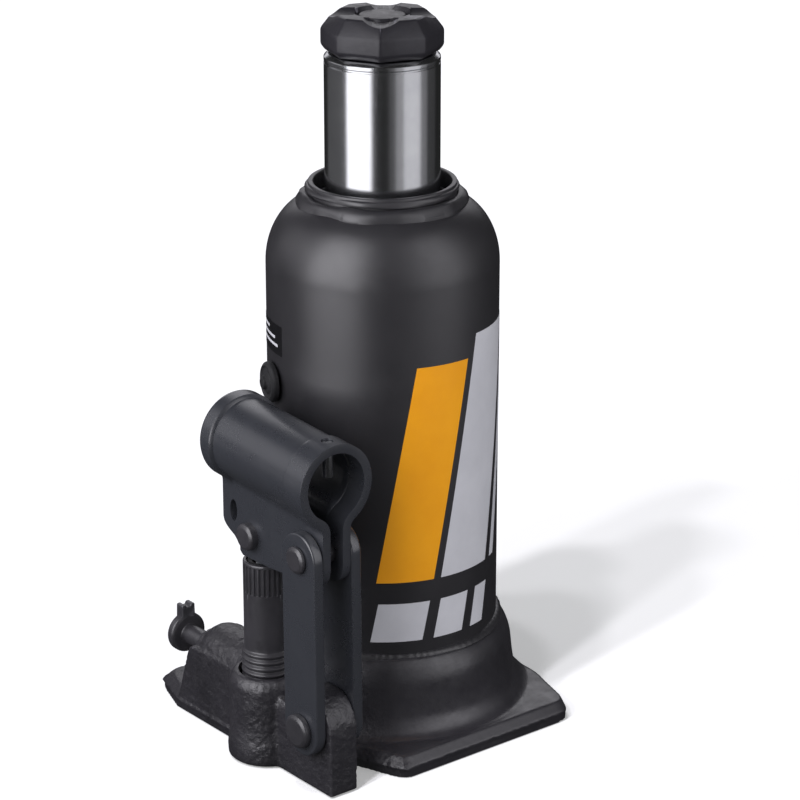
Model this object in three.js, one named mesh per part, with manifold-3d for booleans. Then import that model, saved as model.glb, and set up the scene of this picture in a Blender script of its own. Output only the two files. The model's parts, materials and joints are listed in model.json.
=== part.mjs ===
// Hydraulic bottle jack: a welded oil reservoir on a cast base, with a chromed ram,
// a screw-out saddle, a lever-worked hand pump and a release valve.
// Millimetres. +Z is up, the origin is on the floor under the ram's axis, the pump
// side faces -Y, and the handle goes into the socket from -X.

import * as THREE from 'three';
import { mergeVertices } from 'three/addons/utils/BufferGeometryUtils.js';
import Module from 'manifold-3d';

// ---- Driving dimensions ----

const RUNNING_GAP = 0.3; // between neighbouring pieces

// Base casting
const PLATE = {
  halfWidth: 71.5, back: 62.5, front: -72, top: 9, edgeInset: 3,
  cornerX: 36.5, cornerY: 50, rightFront: -44, lugRoot: [47.7, -54], lugFlank: [65, -47.6],
};
const COLLAR = { r: 58.9, top: 42.5, lipR: 52.6, footR: 65 };
const TANK_SEAT_Z = 14;
const BLOCK = { front: -80.5, back: -44, left: -50, leftTop: -40, right: 30, top: 34 };
const VALVE_BOSS = { x: -27, y: -67, z: 32, r: 13 };
const PUMP = { x: 12, y: -74 };
const PUMP_BOSS = { r: 17, footR: 18, footTop: 12, neckFoot: 17, chamfer: 3, top: 40.5 };
const PUMP_SEAT = { gasketR: 11.9, gasketZ: 16, feedR: 7, feedZ: 3.5 };

// Reservoir tank
const TANK = { r: 51, wall: 3.5, shoulderZ: 209.5, neckR: 32.4, neckTop: 245.5, neckBoreR: 30 };

// Pressure cylinder, gland and ram
const CYLINDER = { bore: 30, r: 36, foot: 16, top: 226 };
const GLAND = { bottom: 205, top: 238, grooveDepth: 2.8, sealFoot: 219, sealTop: 224, wiperFoot: 233 };
const GLAND_RING = { inner: 25.3, outer: 27.8 };
const RAM = {
  r: 25, foot: 71, pistonFoot: 91.3, pistonTop: 103, top: 301.8, spigotR: 14, chamfer: 1.8,
};
const WEAR_RING = { inner: 27, foot: 94.4, top: 99.6 };
const CUP_SEAL = { foot: 84, lipFoot: 82.4, top: 91, lipR: 29.7, innerLipR: 28.5 };
const RAM_NUT = { acrossCorners: 44, top: 80 };
const RAM_BORE = { r: 17.2, depth: 95 };
const SCREW = { r: 16.8, foot: 214, grooveFoot: 216, grooveTop: 219.5, grooveR: 13.6 };
const HEAD = {
  r: 26.5, foot: 302.2, bandFoot: 304.9, bandTop: 311.9, top: 318.9, inset: 5.4,
  turn: THREE.MathUtils.degToRad(-40.5),
};
const HEAD_RECESS = { discR: 10, discDepth: 1.6, grooveR: 12.2, grooveDepth: 2.7, lipR: 12.8 };
const HEAD_SCOOP = { r: 13.7, rise: 11.4 };

// Hand pump
const PUMP_CYLINDER = {
  r: 10.2, bore: 6.3, foot: 17.8, top: 92, threadR: 11.5, threadFoot: 38, threadTop: 50, pitch: 3,
};
const SPLINE = { foot: 78.5, top: 91, count: 14, depth: 0.9, width: 1.2 };
const PUMP_WIPER = { foot: 86.5, r: 8.6 };
const PISTON = { r: 6, foot: 30, neck: 90.5, tangT: 5.9, tangR: 9.6, stemHalf: 5, holeR: 6.4 };
const PISTON_GROOVE = { r: 4.4, foot: 34, top: 38 };

// Lever linkage, in the vertical plane y = PUMP.y
const LOWER_PIN = { x: 52, z: 29, r: 6, headR: 7.5, headHeight: 3.5 };
const UPPER_PIN = { x: 51.2, z: 107.4, r: 5.2, headR: 6, headHeight: 2.4 };
const PISTON_PIN = { x: 12, z: 104.5, r: 4, headR: 6, headHeight: 5 };
const PIN_HOLE_GAP = 0.35;
const CLIP = { gap: 0.6, grooveWidth: 1.6, grooveDepth: 1.4, t: 1.2, reach: 2.2 };
const LUG = { t: 14.3, r: 15, right: 66 };
const LINK = { halfWidth: 11.5, t: 5 };
const SOCKET = { r: 17.8, bore: 13.8, mouthX: -9, mouthZ: 143.9, endX: 62, endZ: 139.9 };
const CHEEK = { gap: 6.5, t: 4, left: -8.5, foot: 93.6, right: 62 };
const CHEEK_SLOT = { x: -0.5, z: 112, halfWidth: 2.6, halfHeight: 5 };
const SOCKET_BANDS = { mouthR: 19.3, mouthLength: 8, endR: 18.5, endLength: 12 };
const STOP_PIN = { x: 56, r: 2.4, foot: 143, top: 158.3 };

// Release valve and filler plug
const VALVE = {
  y: -67, z: 30, stemR: 4.5, boreR: 5.2, seatR: 3.2, tip: -20, knobInner: -58, knobR: 9.3,
  knobLength: 5, ear: 14, earHalf: 3.2, grooveFoot: -34, grooveTop: -30,
};
const FILLER = { turn: THREE.MathUtils.degToRad(-15.5), z: 160, r: 9, shankR: 5 };

// Drilled oil passages run level in the foot of the casting
const PASSAGE = {
  z: 5, r: 2, pressureX: 8.5, suctionX: 15.5, releaseY: -60, plugR: 3.2, plugLength: 6, plugInset: 0.5,
};
const CHECK_VALVE = { seatR: 3.4, seatZ: 9, ballR: 3, ballZ: 11.6, outletY: -12, inletY: -38 };
const RELEASE_DRILLING = { r: 1.8, inX: -15.5, inY: -65, outX: -32, returnX: -22, ballR: 2.8 };

const SEGMENTS = { large: 44, medium: 28, small: 16, tiny: 10 };

// ---- Materials ----

const finish = (color, roughness, metalness) =>
  new THREE.MeshStandardMaterial({ color, roughness, metalness });

const MATERIALS = {
  castPaint: finish(0x3a393f, 0.62, 0.2),
  tankPaint: finish(0x2b2a2d, 0.42, 0.2),
  leverPaint: finish(0x42464c, 0.45, 0.3),
  blackOxide: finish(0x2a2b2d, 0.5, 0.6),
  chrome: finish(0xd9dbdd, 0.08, 1.0),
  steel: finish(0x8d9094, 0.35, 0.9),
  rubber: finish(0x17171a, 0.75, 0.0),
  seal: finish(0x8a3b22, 0.6, 0.0),
  copper: finish(0xb06a3b, 0.4, 0.9),
};

// ---- Solid modelling helpers ----

const wasm = await Module();
wasm.setup();

// Joins coincident vertices and drops the zero-area triangles that a pole leaves.
function weld(geometry) {
  const bare = geometry.clone();
  bare.deleteAttribute('normal');
  bare.deleteAttribute('uv');
  const merged = mergeVertices(bare, 1e-4);
  const source = merged.index.array;
  const kept = [];
  for (let i = 0; i < source.length; i += 3) {
    const [a, b, c] = [source[i], source[i + 1], source[i + 2]];
    if (a !== b && b !== c && c !== a) kept.push(a, b, c);
  }
  merged.setIndex(kept);
  return merged;
}

function toSolid(geometry) {
  const merged = weld(geometry);
  return new wasm.Manifold(new wasm.Mesh({
    numProp: 3,
    vertProperties: new Float32Array(merged.attributes.position.array),
    triVerts: new Uint32Array(merged.index.array),
  }));
}

function toGeometry(solid) {
  const mesh = solid.getMesh();
  const geometry = new THREE.BufferGeometry();
  geometry.setAttribute('position', new THREE.BufferAttribute(mesh.vertProperties, 3));
  geometry.setIndex(new THREE.BufferAttribute(mesh.triVerts, 1));
  geometry.computeVertexNormals();
  return geometry;
}

// Cuts and joins a list of geometries: base plus the joined, minus the cut ones.
function carve(base, joined, cut) {
  let solid = toSolid(base);
  for (const geometry of joined) solid = solid.add(toSolid(geometry));
  for (const geometry of cut) solid = solid.subtract(toSolid(geometry));
  return toGeometry(solid);
}

// A solid of revolution about +Z from [radius, z] points, given anticlockwise or not.
function turned(points, segments) {
  let area = 0;
  points.forEach(([r, z], i) => {
    const [nextR, nextZ] = points[(i + 1) % points.length];
    area += r * nextZ - nextR * z;
  });
  const ordered = area > 0 ? [...points] : [...points].reverse();
  const firstOnAxis = ordered.findIndex(([r], i) => {
    const [previousR] = ordered[(i + ordered.length - 1) % ordered.length];
    return r === 0 && previousR === 0;
  });
  const start = Math.max(firstOnAxis, 0);
  const loop = [...ordered.slice(start), ...ordered.slice(0, start)];
  if (firstOnAxis < 0) loop.push(loop[0]);
  const profile = loop.map(([r, z]) => new THREE.Vector2(r, z));
  return weld(new THREE.LatheGeometry(profile, segments).rotateX(Math.PI / 2));
}

const disc = (r, z0, z1, segments) =>
  turned([[0, z0], [r, z0], [r, z1], [0, z1]], segments);

const ring = (inner, outer, z0, z1, segments) =>
  turned([[inner, z0], [outer, z0], [outer, z1], [inner, z1]], segments);

// A round bar along +X, +Y or an angled line in the XZ plane.
const barX = (r, x0, x1, y, z, segments) =>
  disc(r, x0, x1, segments).rotateY(Math.PI / 2).translate(0, y, z);

const barY = (r, y0, y1, x, z, segments) =>
  disc(r, -y1, -y0, segments).rotateX(Math.PI / 2).translate(x, 0, z);

// A flat plate in the XZ plane, from y0 to y1.
function plateXZ(shape, y0, y1) {
  const depth = y1 - y0;
  const geometry = new THREE.ExtrudeGeometry(shape, { depth, bevelEnabled: false, curveSegments: 10 });
  return geometry.rotateX(Math.PI / 2).translate(0, y1, 0);
}

function polygon(points) {
  return new THREE.Shape(points.map(([x, y]) => new THREE.Vector2(x, y)));
}

const box = (x0, x1, y0, y1, z0, z1) =>
  new THREE.BoxGeometry(x1 - x0, y1 - y0, z1 - z0)
    .translate((x0 + x1) / 2, (y0 + y1) / 2, (z0 + z1) / 2);

// ---- Scene graph ----

const jack = new THREE.Group();

function addPart(name, geometry, material, place) {
  const mesh = new THREE.Mesh(geometry, material);
  mesh.name = name;
  if (place) place(mesh);
  jack.add(mesh);
  return mesh;
}

// ---- Base casting ----

// Outline of the foot plate, seen from above.
function plateOutline(inset) {
  const side = PLATE.halfWidth - inset;
  const back = PLATE.back - inset;
  const front = PLATE.front + inset;
  const [rootX, rootY] = PLATE.lugRoot;
  const [flankX, flankY] = PLATE.lugFlank;
  return [
    [side, PLATE.rightFront], [side, PLATE.cornerY], [PLATE.cornerX, back], [-PLATE.cornerX, back],
    [-side, PLATE.cornerY], [-side, front], [BLOCK.left, BLOCK.front + inset],
    [BLOCK.right, BLOCK.front + inset], [rootX, rootY + inset], [flankX, flankY + inset],
  ];
}

// The foot plate: a straight lower edge and a sloping upper one.
function footPlate() {
  const low = plateOutline(0);
  const high = plateOutline(PLATE.edgeInset);
  const ledge = PLATE.top / 2;
  const layers = [[low, 0], [low, ledge], [high, PLATE.top]];
  const count = low.length;
  const positions = layers.flatMap(([outline, z]) => outline.flatMap(([x, y]) => [x, y, z]));
  const index = [];
  for (let layer = 0; layer < layers.length - 1; layer += 1) {
    for (let i = 0; i < count; i += 1) {
      const a = layer * count + i;
      const b = layer * count + ((i + 1) % count);
      index.push(a, b, b + count, a, b + count, a + count);
    }
  }
  const flat = low.map(([x, y]) => new THREE.Vector2(x, y));
  const topStart = (layers.length - 1) * count;
  for (const [a, b, c] of THREE.ShapeUtils.triangulateShape(flat, [])) {
    index.push(a, c, b);
    index.push(topStart + a, topStart + b, topStart + c);
  }
  const geometry = new THREE.BufferGeometry();
  geometry.setAttribute('position', new THREE.Float32BufferAttribute(positions, 3));
  geometry.setIndex(index);
  return geometry;
}

function collar() {
  const outline = turned([
    [0, 0], [COLLAR.footR, 0], [COLLAR.footR, PLATE.top], [61.2, 12], [59.4, 16.5], [COLLAR.r, 22],
    [57.6, 34], [55.2, 39.5], [COLLAR.lipR, COLLAR.top], [0, COLLAR.top],
  ], SEGMENTS.large);
  const limit = new THREE.ExtrudeGeometry(polygon(plateOutline(PLATE.edgeInset)), {
    depth: COLLAR.top + 1, bevelEnabled: false,
  });
  return toGeometry(toSolid(outline).intersect(toSolid(limit)));
}

function lug() {
  const shape = new THREE.Shape();
  shape.moveTo(PUMP.x, 0);
  shape.lineTo(LUG.right, 0);
  shape.lineTo(LUG.right, LOWER_PIN.z);
  shape.absarc(LOWER_PIN.x - 1, LOWER_PIN.z, LUG.r, 0, Math.PI / 2, false);
  shape.lineTo(44, LOWER_PIN.z + LUG.r);
  shape.lineTo(34, 30);
  shape.lineTo(PUMP.x, 30);
  shape.closePath();
  return plateXZ(shape, PUMP.y - LUG.t / 2, PUMP.y + LUG.t / 2);
}

function baseCasting() {
  const block = plateXZ(polygon([
    [BLOCK.left, 0], [BLOCK.right, 0], [BLOCK.right, BLOCK.top],
    [BLOCK.leftTop, BLOCK.top], [BLOCK.left + 2, PLATE.top],
  ]), BLOCK.front, BLOCK.back);
  const pumpBoss = turned([
    [0, 0], [PUMP_BOSS.footR, 0], [PUMP_BOSS.footR, PUMP_BOSS.footTop],
    [PUMP_BOSS.r, PUMP_BOSS.neckFoot], [PUMP_BOSS.r, PUMP_BOSS.top - PUMP_BOSS.chamfer],
    [PUMP_BOSS.r - PUMP_BOSS.chamfer, PUMP_BOSS.top], [0, PUMP_BOSS.top],
  ], SEGMENTS.medium).translate(PUMP.x, PUMP.y, 0);
  const valveBoss = barX(VALVE_BOSS.r, VALVE_BOSS.x, PUMP.x, VALVE_BOSS.y, VALVE_BOSS.z, SEGMENTS.small);
  const valveDome = new THREE.SphereGeometry(VALVE_BOSS.r, SEGMENTS.small, 12)
    .translate(VALVE_BOSS.x, VALVE_BOSS.y, VALVE_BOSS.z);
  const joined = [collar(), block, pumpBoss, valveBoss, valveDome, lug()];

  const tankSeat = disc(TANK.r + RUNNING_GAP, TANK_SEAT_Z, COLLAR.top + 1, SEGMENTS.large);
  const pumpBore = turned([
    [0, PUMP_SEAT.feedZ], [PUMP_SEAT.feedR, PUMP_SEAT.feedZ], [PUMP_SEAT.feedR, PUMP_SEAT.gasketZ],
    [PUMP_SEAT.gasketR, PUMP_SEAT.gasketZ], [PUMP_SEAT.gasketR, PUMP_CYLINDER.threadTop],
    [0, PUMP_CYLINDER.threadTop],
  ], SEGMENTS.small).translate(PUMP.x, PUMP.y, 0);
  const valveBore = barX(VALVE.boreR, VALVE.knobInner - 2, VALVE.tip + 1, VALVE.y, VALVE.z,
    SEGMENTS.small);
  const valveSeat = barX(VALVE.seatR, VALVE.knobInner - 2, VALVE.tip + 6, VALVE.y, VALVE.z,
    SEGMENTS.tiny);
  const lugHole = barY(LOWER_PIN.r + PIN_HOLE_GAP, PUMP.y - LUG.t, PUMP.y + LUG.t, LOWER_PIN.x,
    LOWER_PIN.z, SEGMENTS.small);
  const cuts = [tankSeat, pumpBore, valveBore, valveSeat, lugHole, ...oilPassages()];
  return carve(footPlate(), joined, cuts);
}

// Level drillings in the foot of the casting, with risers to the tank's floor and to the valve.
function oilPassages() {
  const { r, plugR, plugLength, pressureX, suctionX, releaseY, z } = PASSAGE;
  const { seatR, seatZ, outletY, inletY } = CHECK_VALVE;
  const { inX, inY, outX, returnX } = RELEASE_DRILLING;
  const edge = PLATE.back + 1;
  const plugHole = plugLength + 1;
  const riser = (x, y, radius, foot, top) => disc(radius, foot, top, SEGMENTS.tiny).translate(x, y, 0);
  const level = (x, radius, start) => barY(radius, start, edge, x, z, SEGMENTS.tiny);
  return [
    level(pressureX, r, PUMP.y),
    level(suctionX, r, PUMP.y),
    level(pressureX, plugR, PLATE.back - plugHole),
    level(suctionX, plugR, PLATE.back - plugHole),
    riser(pressureX, outletY, r, z, TANK_SEAT_Z + 1),
    riser(suctionX, inletY, r, z, TANK_SEAT_Z + 1),
    riser(pressureX, outletY, seatR, seatZ, TANK_SEAT_Z + 1),
    riser(suctionX, inletY, seatR, seatZ, TANK_SEAT_Z + 1),
    barX(r, -PLATE.halfWidth - 1, pressureX, releaseY, z, SEGMENTS.tiny),
    barX(plugR, -PLATE.halfWidth - 1, -PLATE.halfWidth + plugHole, releaseY, z, SEGMENTS.tiny),
    riser(inX, inY, RELEASE_DRILLING.r, z, VALVE.z),
    box(inX - r, inX + r, inY - 1, releaseY, z - 1.5, z + 1.5),
    riser(outX, VALVE.y, RELEASE_DRILLING.r, z, VALVE.z),
    box(outX - 1.5, outX + 1.5, VALVE.y, inletY, z - 1, z + 3),
    barX(r, outX - 3, returnX, inletY, z + 1, SEGMENTS.tiny),
    riser(returnX, inletY, r, z, TANK_SEAT_Z + 1),
  ];
}

addPart('base_casting', baseCasting(), MATERIALS.castPaint);

// A screwed plug in the end of a drilling, just below the plate's edge.
const passagePlug = (bar, edge, x, ...rest) => {
  const inner = edge - PASSAGE.plugLength - PASSAGE.plugInset;
  return bar(PASSAGE.plugR - RUNNING_GAP, inner, edge - PASSAGE.plugInset, x, ...rest);
};

for (const [name, x] of [['pressure', PASSAGE.pressureX], ['suction', PASSAGE.suctionX]]) {
  addPart(`${name}_passage_plug`, passagePlug(barY, PLATE.back, x, PASSAGE.z, SEGMENTS.tiny),
    MATERIALS.blackOxide);
}
addPart('release_passage_plug',
  passagePlug(barX, PLATE.halfWidth, -PASSAGE.releaseY, PASSAGE.z, SEGMENTS.tiny).rotateZ(Math.PI),
  MATERIALS.blackOxide);

// ---- Reservoir tank ----

// A drawn tube: straight wall, round shoulder, short neck with a rim. Weld beads stand
// round its foot, above the collar, and round the root of the neck.
function reservoirTank() {
  const { r, wall, shoulderZ, neckR, neckTop, neckBoreR } = TANK;
  const foot = TANK_SEAT_Z + RUNNING_GAP;
  const beadFoot = COLLAR.top + RUNNING_GAP;
  const tube = turned([
    [r - wall, foot], [r, foot], [r, beadFoot], [r + 1.6, beadFoot], [r + 1.3, beadFoot + 2.2],
    [r, beadFoot + 3.2], [r, shoulderZ], [50.4, 218.5], [47.5, 225.5], [42.6, 232], [38.2, 236.3],
    [36.3, 238.8], [34.6, 241], [neckR, 241.6], [neckR, neckTop - 0.8], [neckR - 0.8, neckTop],
    [neckBoreR + 0.8, neckTop], [neckBoreR, neckTop - 0.8], [neckBoreR, 234.5], [37.5, 231.5],
    [42.2, 226], [45.6, 218.5], [r - wall, shoulderZ],
  ], SEGMENTS.large);
  const hole = disc(FILLER.shankR + RUNNING_GAP, r - 2 * wall, r + wall, SEGMENTS.small)
    .rotateX(Math.PI / 2).rotateZ(FILLER.turn).translate(0, 0, FILLER.z);
  return carve(tube, [], [hole]);
}

addPart('reservoir_tank', reservoirTank(), MATERIALS.tankPaint);

addPart('filler_plug', turned([
  [0, 44], [FILLER.shankR + 0.1, 44], [FILLER.shankR - 0.4, 46], [FILLER.shankR - 0.4, TANK.r + 0.6],
  [FILLER.r, TANK.r + 0.9], [FILLER.r, TANK.r + 2.9], [FILLER.r - 1.5, TANK.r + 4.1],
  [3.2, TANK.r + 4.1], [2.6, TANK.r + 6], [0, TANK.r + 6],
], SEGMENTS.small), MATERIALS.rubber, (mesh) => {
  mesh.geometry.rotateX(Math.PI / 2).rotateZ(FILLER.turn);
  mesh.position.z = FILLER.z;
});

// ---- Pressure cylinder and gland ----

addPart('pressure_cylinder',
  ring(CYLINDER.bore, CYLINDER.r, CYLINDER.foot, CYLINDER.top, SEGMENTS.medium), MATERIALS.steel);
addPart('cylinder_gasket',
  ring(30.6, 35.4, TANK_SEAT_Z + RUNNING_GAP, CYLINDER.foot - RUNNING_GAP, SEGMENTS.medium),
  MATERIALS.copper);

function glandNut() {
  const inner = RAM.r + 0.4;
  const outer = CYLINDER.bore - RUNNING_GAP;
  const groove = inner + GLAND.grooveDepth;
  return turned([
    [inner, GLAND.bottom], [outer, GLAND.bottom], [outer, GLAND.top], [groove, GLAND.top],
    [groove, GLAND.wiperFoot], [inner, GLAND.wiperFoot], [inner, GLAND.sealTop],
    [groove, GLAND.sealTop], [groove, GLAND.sealFoot], [inner, GLAND.sealFoot],
  ], SEGMENTS.medium);
}

const glandRing = (foot, top) => ring(GLAND_RING.inner, GLAND_RING.outer, foot + RUNNING_GAP,
  top - RUNNING_GAP, SEGMENTS.medium);

addPart('gland_nut', glandNut(), MATERIALS.blackOxide);
addPart('ram_wiper', glandRing(GLAND.wiperFoot, GLAND.top), MATERIALS.rubber);
addPart('gland_seal', glandRing(GLAND.sealFoot, GLAND.sealTop), MATERIALS.seal);

// ---- Ram ----

function ramBody() {
  const pistonR = CYLINDER.bore - RUNNING_GAP;
  const boreFoot = RAM.top - RAM_BORE.depth;
  return turned([
    [0, RAM.foot], [RAM.spigotR, RAM.foot], [RAM.spigotR, RAM.pistonFoot],
    [pistonR - 1, RAM.pistonFoot], [pistonR, RAM.pistonFoot + 1], [pistonR, WEAR_RING.foot],
    [WEAR_RING.inner, WEAR_RING.foot], [WEAR_RING.inner, WEAR_RING.top], [pistonR, WEAR_RING.top],
    [pistonR, RAM.pistonTop - 1], [pistonR - 1, RAM.pistonTop],
    [RAM.r, RAM.pistonTop], [RAM.r, RAM.top - RAM.chamfer], [RAM.r - RAM.chamfer, RAM.top],
    [RAM_BORE.r, RAM.top], [RAM_BORE.r, boreFoot], [0, boreFoot - 5],
  ], SEGMENTS.medium);
}

addPart('ram', ramBody(), MATERIALS.chrome);
addPart('ram_wear_ring', ring(WEAR_RING.inner + 0.2, CYLINDER.bore - 0.2, WEAR_RING.foot + RUNNING_GAP,
  WEAR_RING.top - RUNNING_GAP, SEGMENTS.medium), MATERIALS.seal);
addPart('ram_cup_seal', turned([
  [RAM.spigotR + RUNNING_GAP, CUP_SEAL.foot], [CUP_SEAL.innerLipR, CUP_SEAL.foot],
  [CUP_SEAL.lipR, CUP_SEAL.lipFoot], [CUP_SEAL.lipR, CUP_SEAL.top],
  [RAM.spigotR + RUNNING_GAP, CUP_SEAL.top],
], SEGMENTS.medium), MATERIALS.rubber);
addPart('cup_seal_retainer', ring(RAM.spigotR + RUNNING_GAP, CUP_SEAL.innerLipR - 2.5,
  RAM_NUT.top + RUNNING_GAP, CUP_SEAL.foot - RUNNING_GAP, SEGMENTS.medium), MATERIALS.steel);

function ramNut() {
  const hexagon = disc(RAM_NUT.acrossCorners / 2, RAM.foot, RAM_NUT.top, 6);
  return carve(hexagon, [],
    [disc(RAM.spigotR + RUNNING_GAP, RAM.foot - 1, RAM_NUT.top + 1, SEGMENTS.medium)]);
}

addPart('ram_nut', ramNut(), MATERIALS.steel);

// ---- Extension screw with its saddle ----

// An octagonal saddle: a sunk flat centre inside a ring groove, and four shallow scoops.
function extensionScrew() {
  const octagon = turned([
    [0, HEAD.foot], [HEAD.r - 2, HEAD.foot], [HEAD.r, HEAD.bandFoot],
    [HEAD.r, HEAD.bandTop], [HEAD.r - HEAD.inset, HEAD.top], [0, HEAD.top],
  ], 8);
  const shank = turned([
    [0, SCREW.foot], [SCREW.r - 1.5, SCREW.foot], [SCREW.r - 0.5, SCREW.grooveFoot],
    [SCREW.grooveR, SCREW.grooveFoot], [SCREW.grooveR, SCREW.grooveTop],
    [SCREW.r, SCREW.grooveTop], [SCREW.r, HEAD.foot + 1], [0, HEAD.foot + 1],
  ], SEGMENTS.medium);
  const { discR, discDepth, grooveR, grooveDepth, lipR } = HEAD_RECESS;
  const recess = turned([
    [0, HEAD.top - discDepth], [discR, HEAD.top - discDepth], [discR, HEAD.top - grooveDepth],
    [grooveR, HEAD.top - grooveDepth], [lipR, HEAD.top + 1], [0, HEAD.top + 1],
  ], SEGMENTS.medium);
  const scoops = [0, 1, 2, 3].map((quarter) => {
    const scoop = disc(HEAD_SCOOP.r, grooveR - 0.5, HEAD.r + 4, SEGMENTS.large).rotateY(Math.PI / 2);
    return scoop.translate(0, 0, HEAD.top + HEAD_SCOOP.rise).rotateZ(quarter * Math.PI / 2);
  });
  return carve(octagon, [shank], [recess, ...scoops]).rotateZ(HEAD.turn);
}

addPart('extension_screw', extensionScrew(), MATERIALS.blackOxide);
addPart('screw_stop_ring', ring(SCREW.grooveR + 0.4, SCREW.r - 0.2, SCREW.grooveFoot + 0.4,
  SCREW.grooveTop - 0.4, SEGMENTS.medium), MATERIALS.steel);

// ---- Hand pump ----

// The pump's body: a screwed foot, a plain barrel and a splined band at the top.
function pumpCylinder() {
  const { r, bore, foot, top, threadR, threadFoot, threadTop, pitch } = PUMP_CYLINDER;
  const thread = [];
  for (let z = threadFoot; z < threadTop; z += pitch) {
    thread.push([r + 0.2, z], [threadR, z + 0.8], [threadR, z + 1.8], [r + 0.2, z + 2.6]);
  }
  const barrel = turned([
    [bore, foot], [r + 1, foot], [r + 1, threadFoot - 2], ...thread, [r, threadTop + 1],
    [r, top - 1], [r - 1, top], [PUMP_WIPER.r, top], [PUMP_WIPER.r, PUMP_WIPER.foot],
    [bore, PUMP_WIPER.foot],
  ], SEGMENTS.medium);
  const flutes = Array.from({ length: SPLINE.count }, (_, i) => {
    const angle = (i / SPLINE.count) * 2 * Math.PI;
    return new THREE.BoxGeometry(SPLINE.depth * 2, SPLINE.width, SPLINE.top - SPLINE.foot)
      .translate(r, 0, (SPLINE.top + SPLINE.foot) / 2)
      .rotateZ(angle);
  });
  return carve(barrel, [], flutes).translate(PUMP.x, PUMP.y, 0);
}

addPart('pump_cylinder', pumpCylinder(), MATERIALS.blackOxide);
const onPumpAxis = (mesh) => mesh.position.set(PUMP.x, PUMP.y, 0);

addPart('pump_gasket', ring(PUMP_SEAT.feedR + 0.2, PUMP_SEAT.gasketR - 0.5,
  PUMP_SEAT.gasketZ + RUNNING_GAP, PUMP_CYLINDER.foot - RUNNING_GAP, SEGMENTS.small),
MATERIALS.copper, onPumpAxis);
addPart('pump_wiper', ring(PISTON.r + 0.35, PUMP_WIPER.r - 0.4, PUMP_WIPER.foot + RUNNING_GAP,
  PUMP_CYLINDER.top - 0.5, SEGMENTS.small), MATERIALS.rubber, onPumpAxis);

// The piston's flat tang has an oversize hole, in which the piston pin floats.
function pumpPiston() {
  const rod = turned([
    [0, PISTON.foot], [PISTON.r - 0.8, PISTON.foot], [PISTON.r, PISTON.foot + 1],
    [PISTON.r, PISTON_GROOVE.foot], [PISTON_GROOVE.r, PISTON_GROOVE.foot],
    [PISTON_GROOVE.r, PISTON_GROOVE.top], [PISTON.r, PISTON_GROOVE.top],
    [PISTON.r, PISTON.neck - 1.5],
    [PISTON.r - 2, PISTON.neck], [0, PISTON.neck],
  ], SEGMENTS.small).translate(PUMP.x, PUMP.y, 0);
  const half = PISTON.tangT / 2;
  const tang = barY(PISTON.tangR, PUMP.y - half, PUMP.y + half, PUMP.x, PISTON_PIN.z, SEGMENTS.medium);
  const stem = box(PUMP.x - PISTON.stemHalf, PUMP.x + PISTON.stemHalf, PUMP.y - half, PUMP.y + half,
    PISTON.neck - 2, PISTON_PIN.z);
  const hole = barY(PISTON.holeR, PUMP.y - 8, PUMP.y + 8, PUMP.x, PISTON_PIN.z, SEGMENTS.small);
  return carve(rod, [tang, stem], [hole]);
}

addPart('pump_piston', pumpPiston(), MATERIALS.steel);
addPart('pump_piston_seal', ring(PISTON_GROOVE.r + RUNNING_GAP, PISTON.r,
  PISTON_GROOVE.foot + RUNNING_GAP, PISTON_GROOVE.top - RUNNING_GAP, SEGMENTS.small),
MATERIALS.seal, onPumpAxis);

const ball = (name, r, x, y, z) => addPart(name, weld(new THREE.SphereGeometry(r, 12, 8)),
  MATERIALS.steel, (mesh) => mesh.position.set(x, y, z));

ball('outlet_check_ball', CHECK_VALVE.ballR, PASSAGE.pressureX, CHECK_VALVE.outletY, CHECK_VALVE.ballZ);
ball('inlet_check_ball', CHECK_VALVE.ballR, PASSAGE.suctionX, CHECK_VALVE.inletY, CHECK_VALVE.ballZ);
ball('release_valve_ball', RELEASE_DRILLING.ballR, VALVE.tip + RELEASE_DRILLING.ballR + RUNNING_GAP,
  VALVE.y, VALVE.z);

// ---- Links and pins ----

const LINK_INNER = LUG.t / 2 + RUNNING_GAP;
const LINK_OUTER = LINK_INNER + LINK.t;
const CHEEK_OUTER = CHEEK.gap / 2 + CHEEK.t;

function linkPlate(side) {
  const lean = Math.atan2(UPPER_PIN.x - LOWER_PIN.x, UPPER_PIN.z - LOWER_PIN.z);
  const shape = new THREE.Shape();
  shape.absarc(UPPER_PIN.x, UPPER_PIN.z, LINK.halfWidth, -lean, Math.PI - lean, false);
  shape.absarc(LOWER_PIN.x, LOWER_PIN.z, LINK.halfWidth, Math.PI - lean, 2 * Math.PI - lean, false);
  shape.closePath();
  const near = PUMP.y + Math.min(side * LINK_INNER, side * LINK_OUTER);
  const body = plateXZ(shape, near, near + LINK.t);
  const holes = [UPPER_PIN, LOWER_PIN].map((pin) =>
    barY(pin.r + PIN_HOLE_GAP, near - 2, near + LINK.t + 2, pin.x, pin.z, SEGMENTS.small));
  return carve(body, [], holes);
}

addPart('link_front', linkPlate(-1), MATERIALS.leverPaint);
addPart('link_rear', linkPlate(1), MATERIALS.leverPaint);

// A headed pin: the head is outside the front face, a clip groove outside the back.
function headedPin(pin, face) {
  const { r, headR, headHeight } = pin;
  const shankLength = 2 * face + 3.6;
  const clipStart = 2 * face + CLIP.gap;
  const clipEnd = clipStart + CLIP.grooveWidth;
  return turned([
    [0, -headHeight], [headR - 1, -headHeight], [headR, -headHeight + 1], [headR, -RUNNING_GAP],
    [r, -RUNNING_GAP], [r, clipStart], [r - CLIP.grooveDepth, clipStart],
    [r - CLIP.grooveDepth, clipEnd], [r, clipEnd], [r - 0.6, shankLength], [0, shankLength],
  ], SEGMENTS.small).rotateX(-Math.PI / 2).translate(pin.x, PUMP.y - face, pin.z);
}

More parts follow.
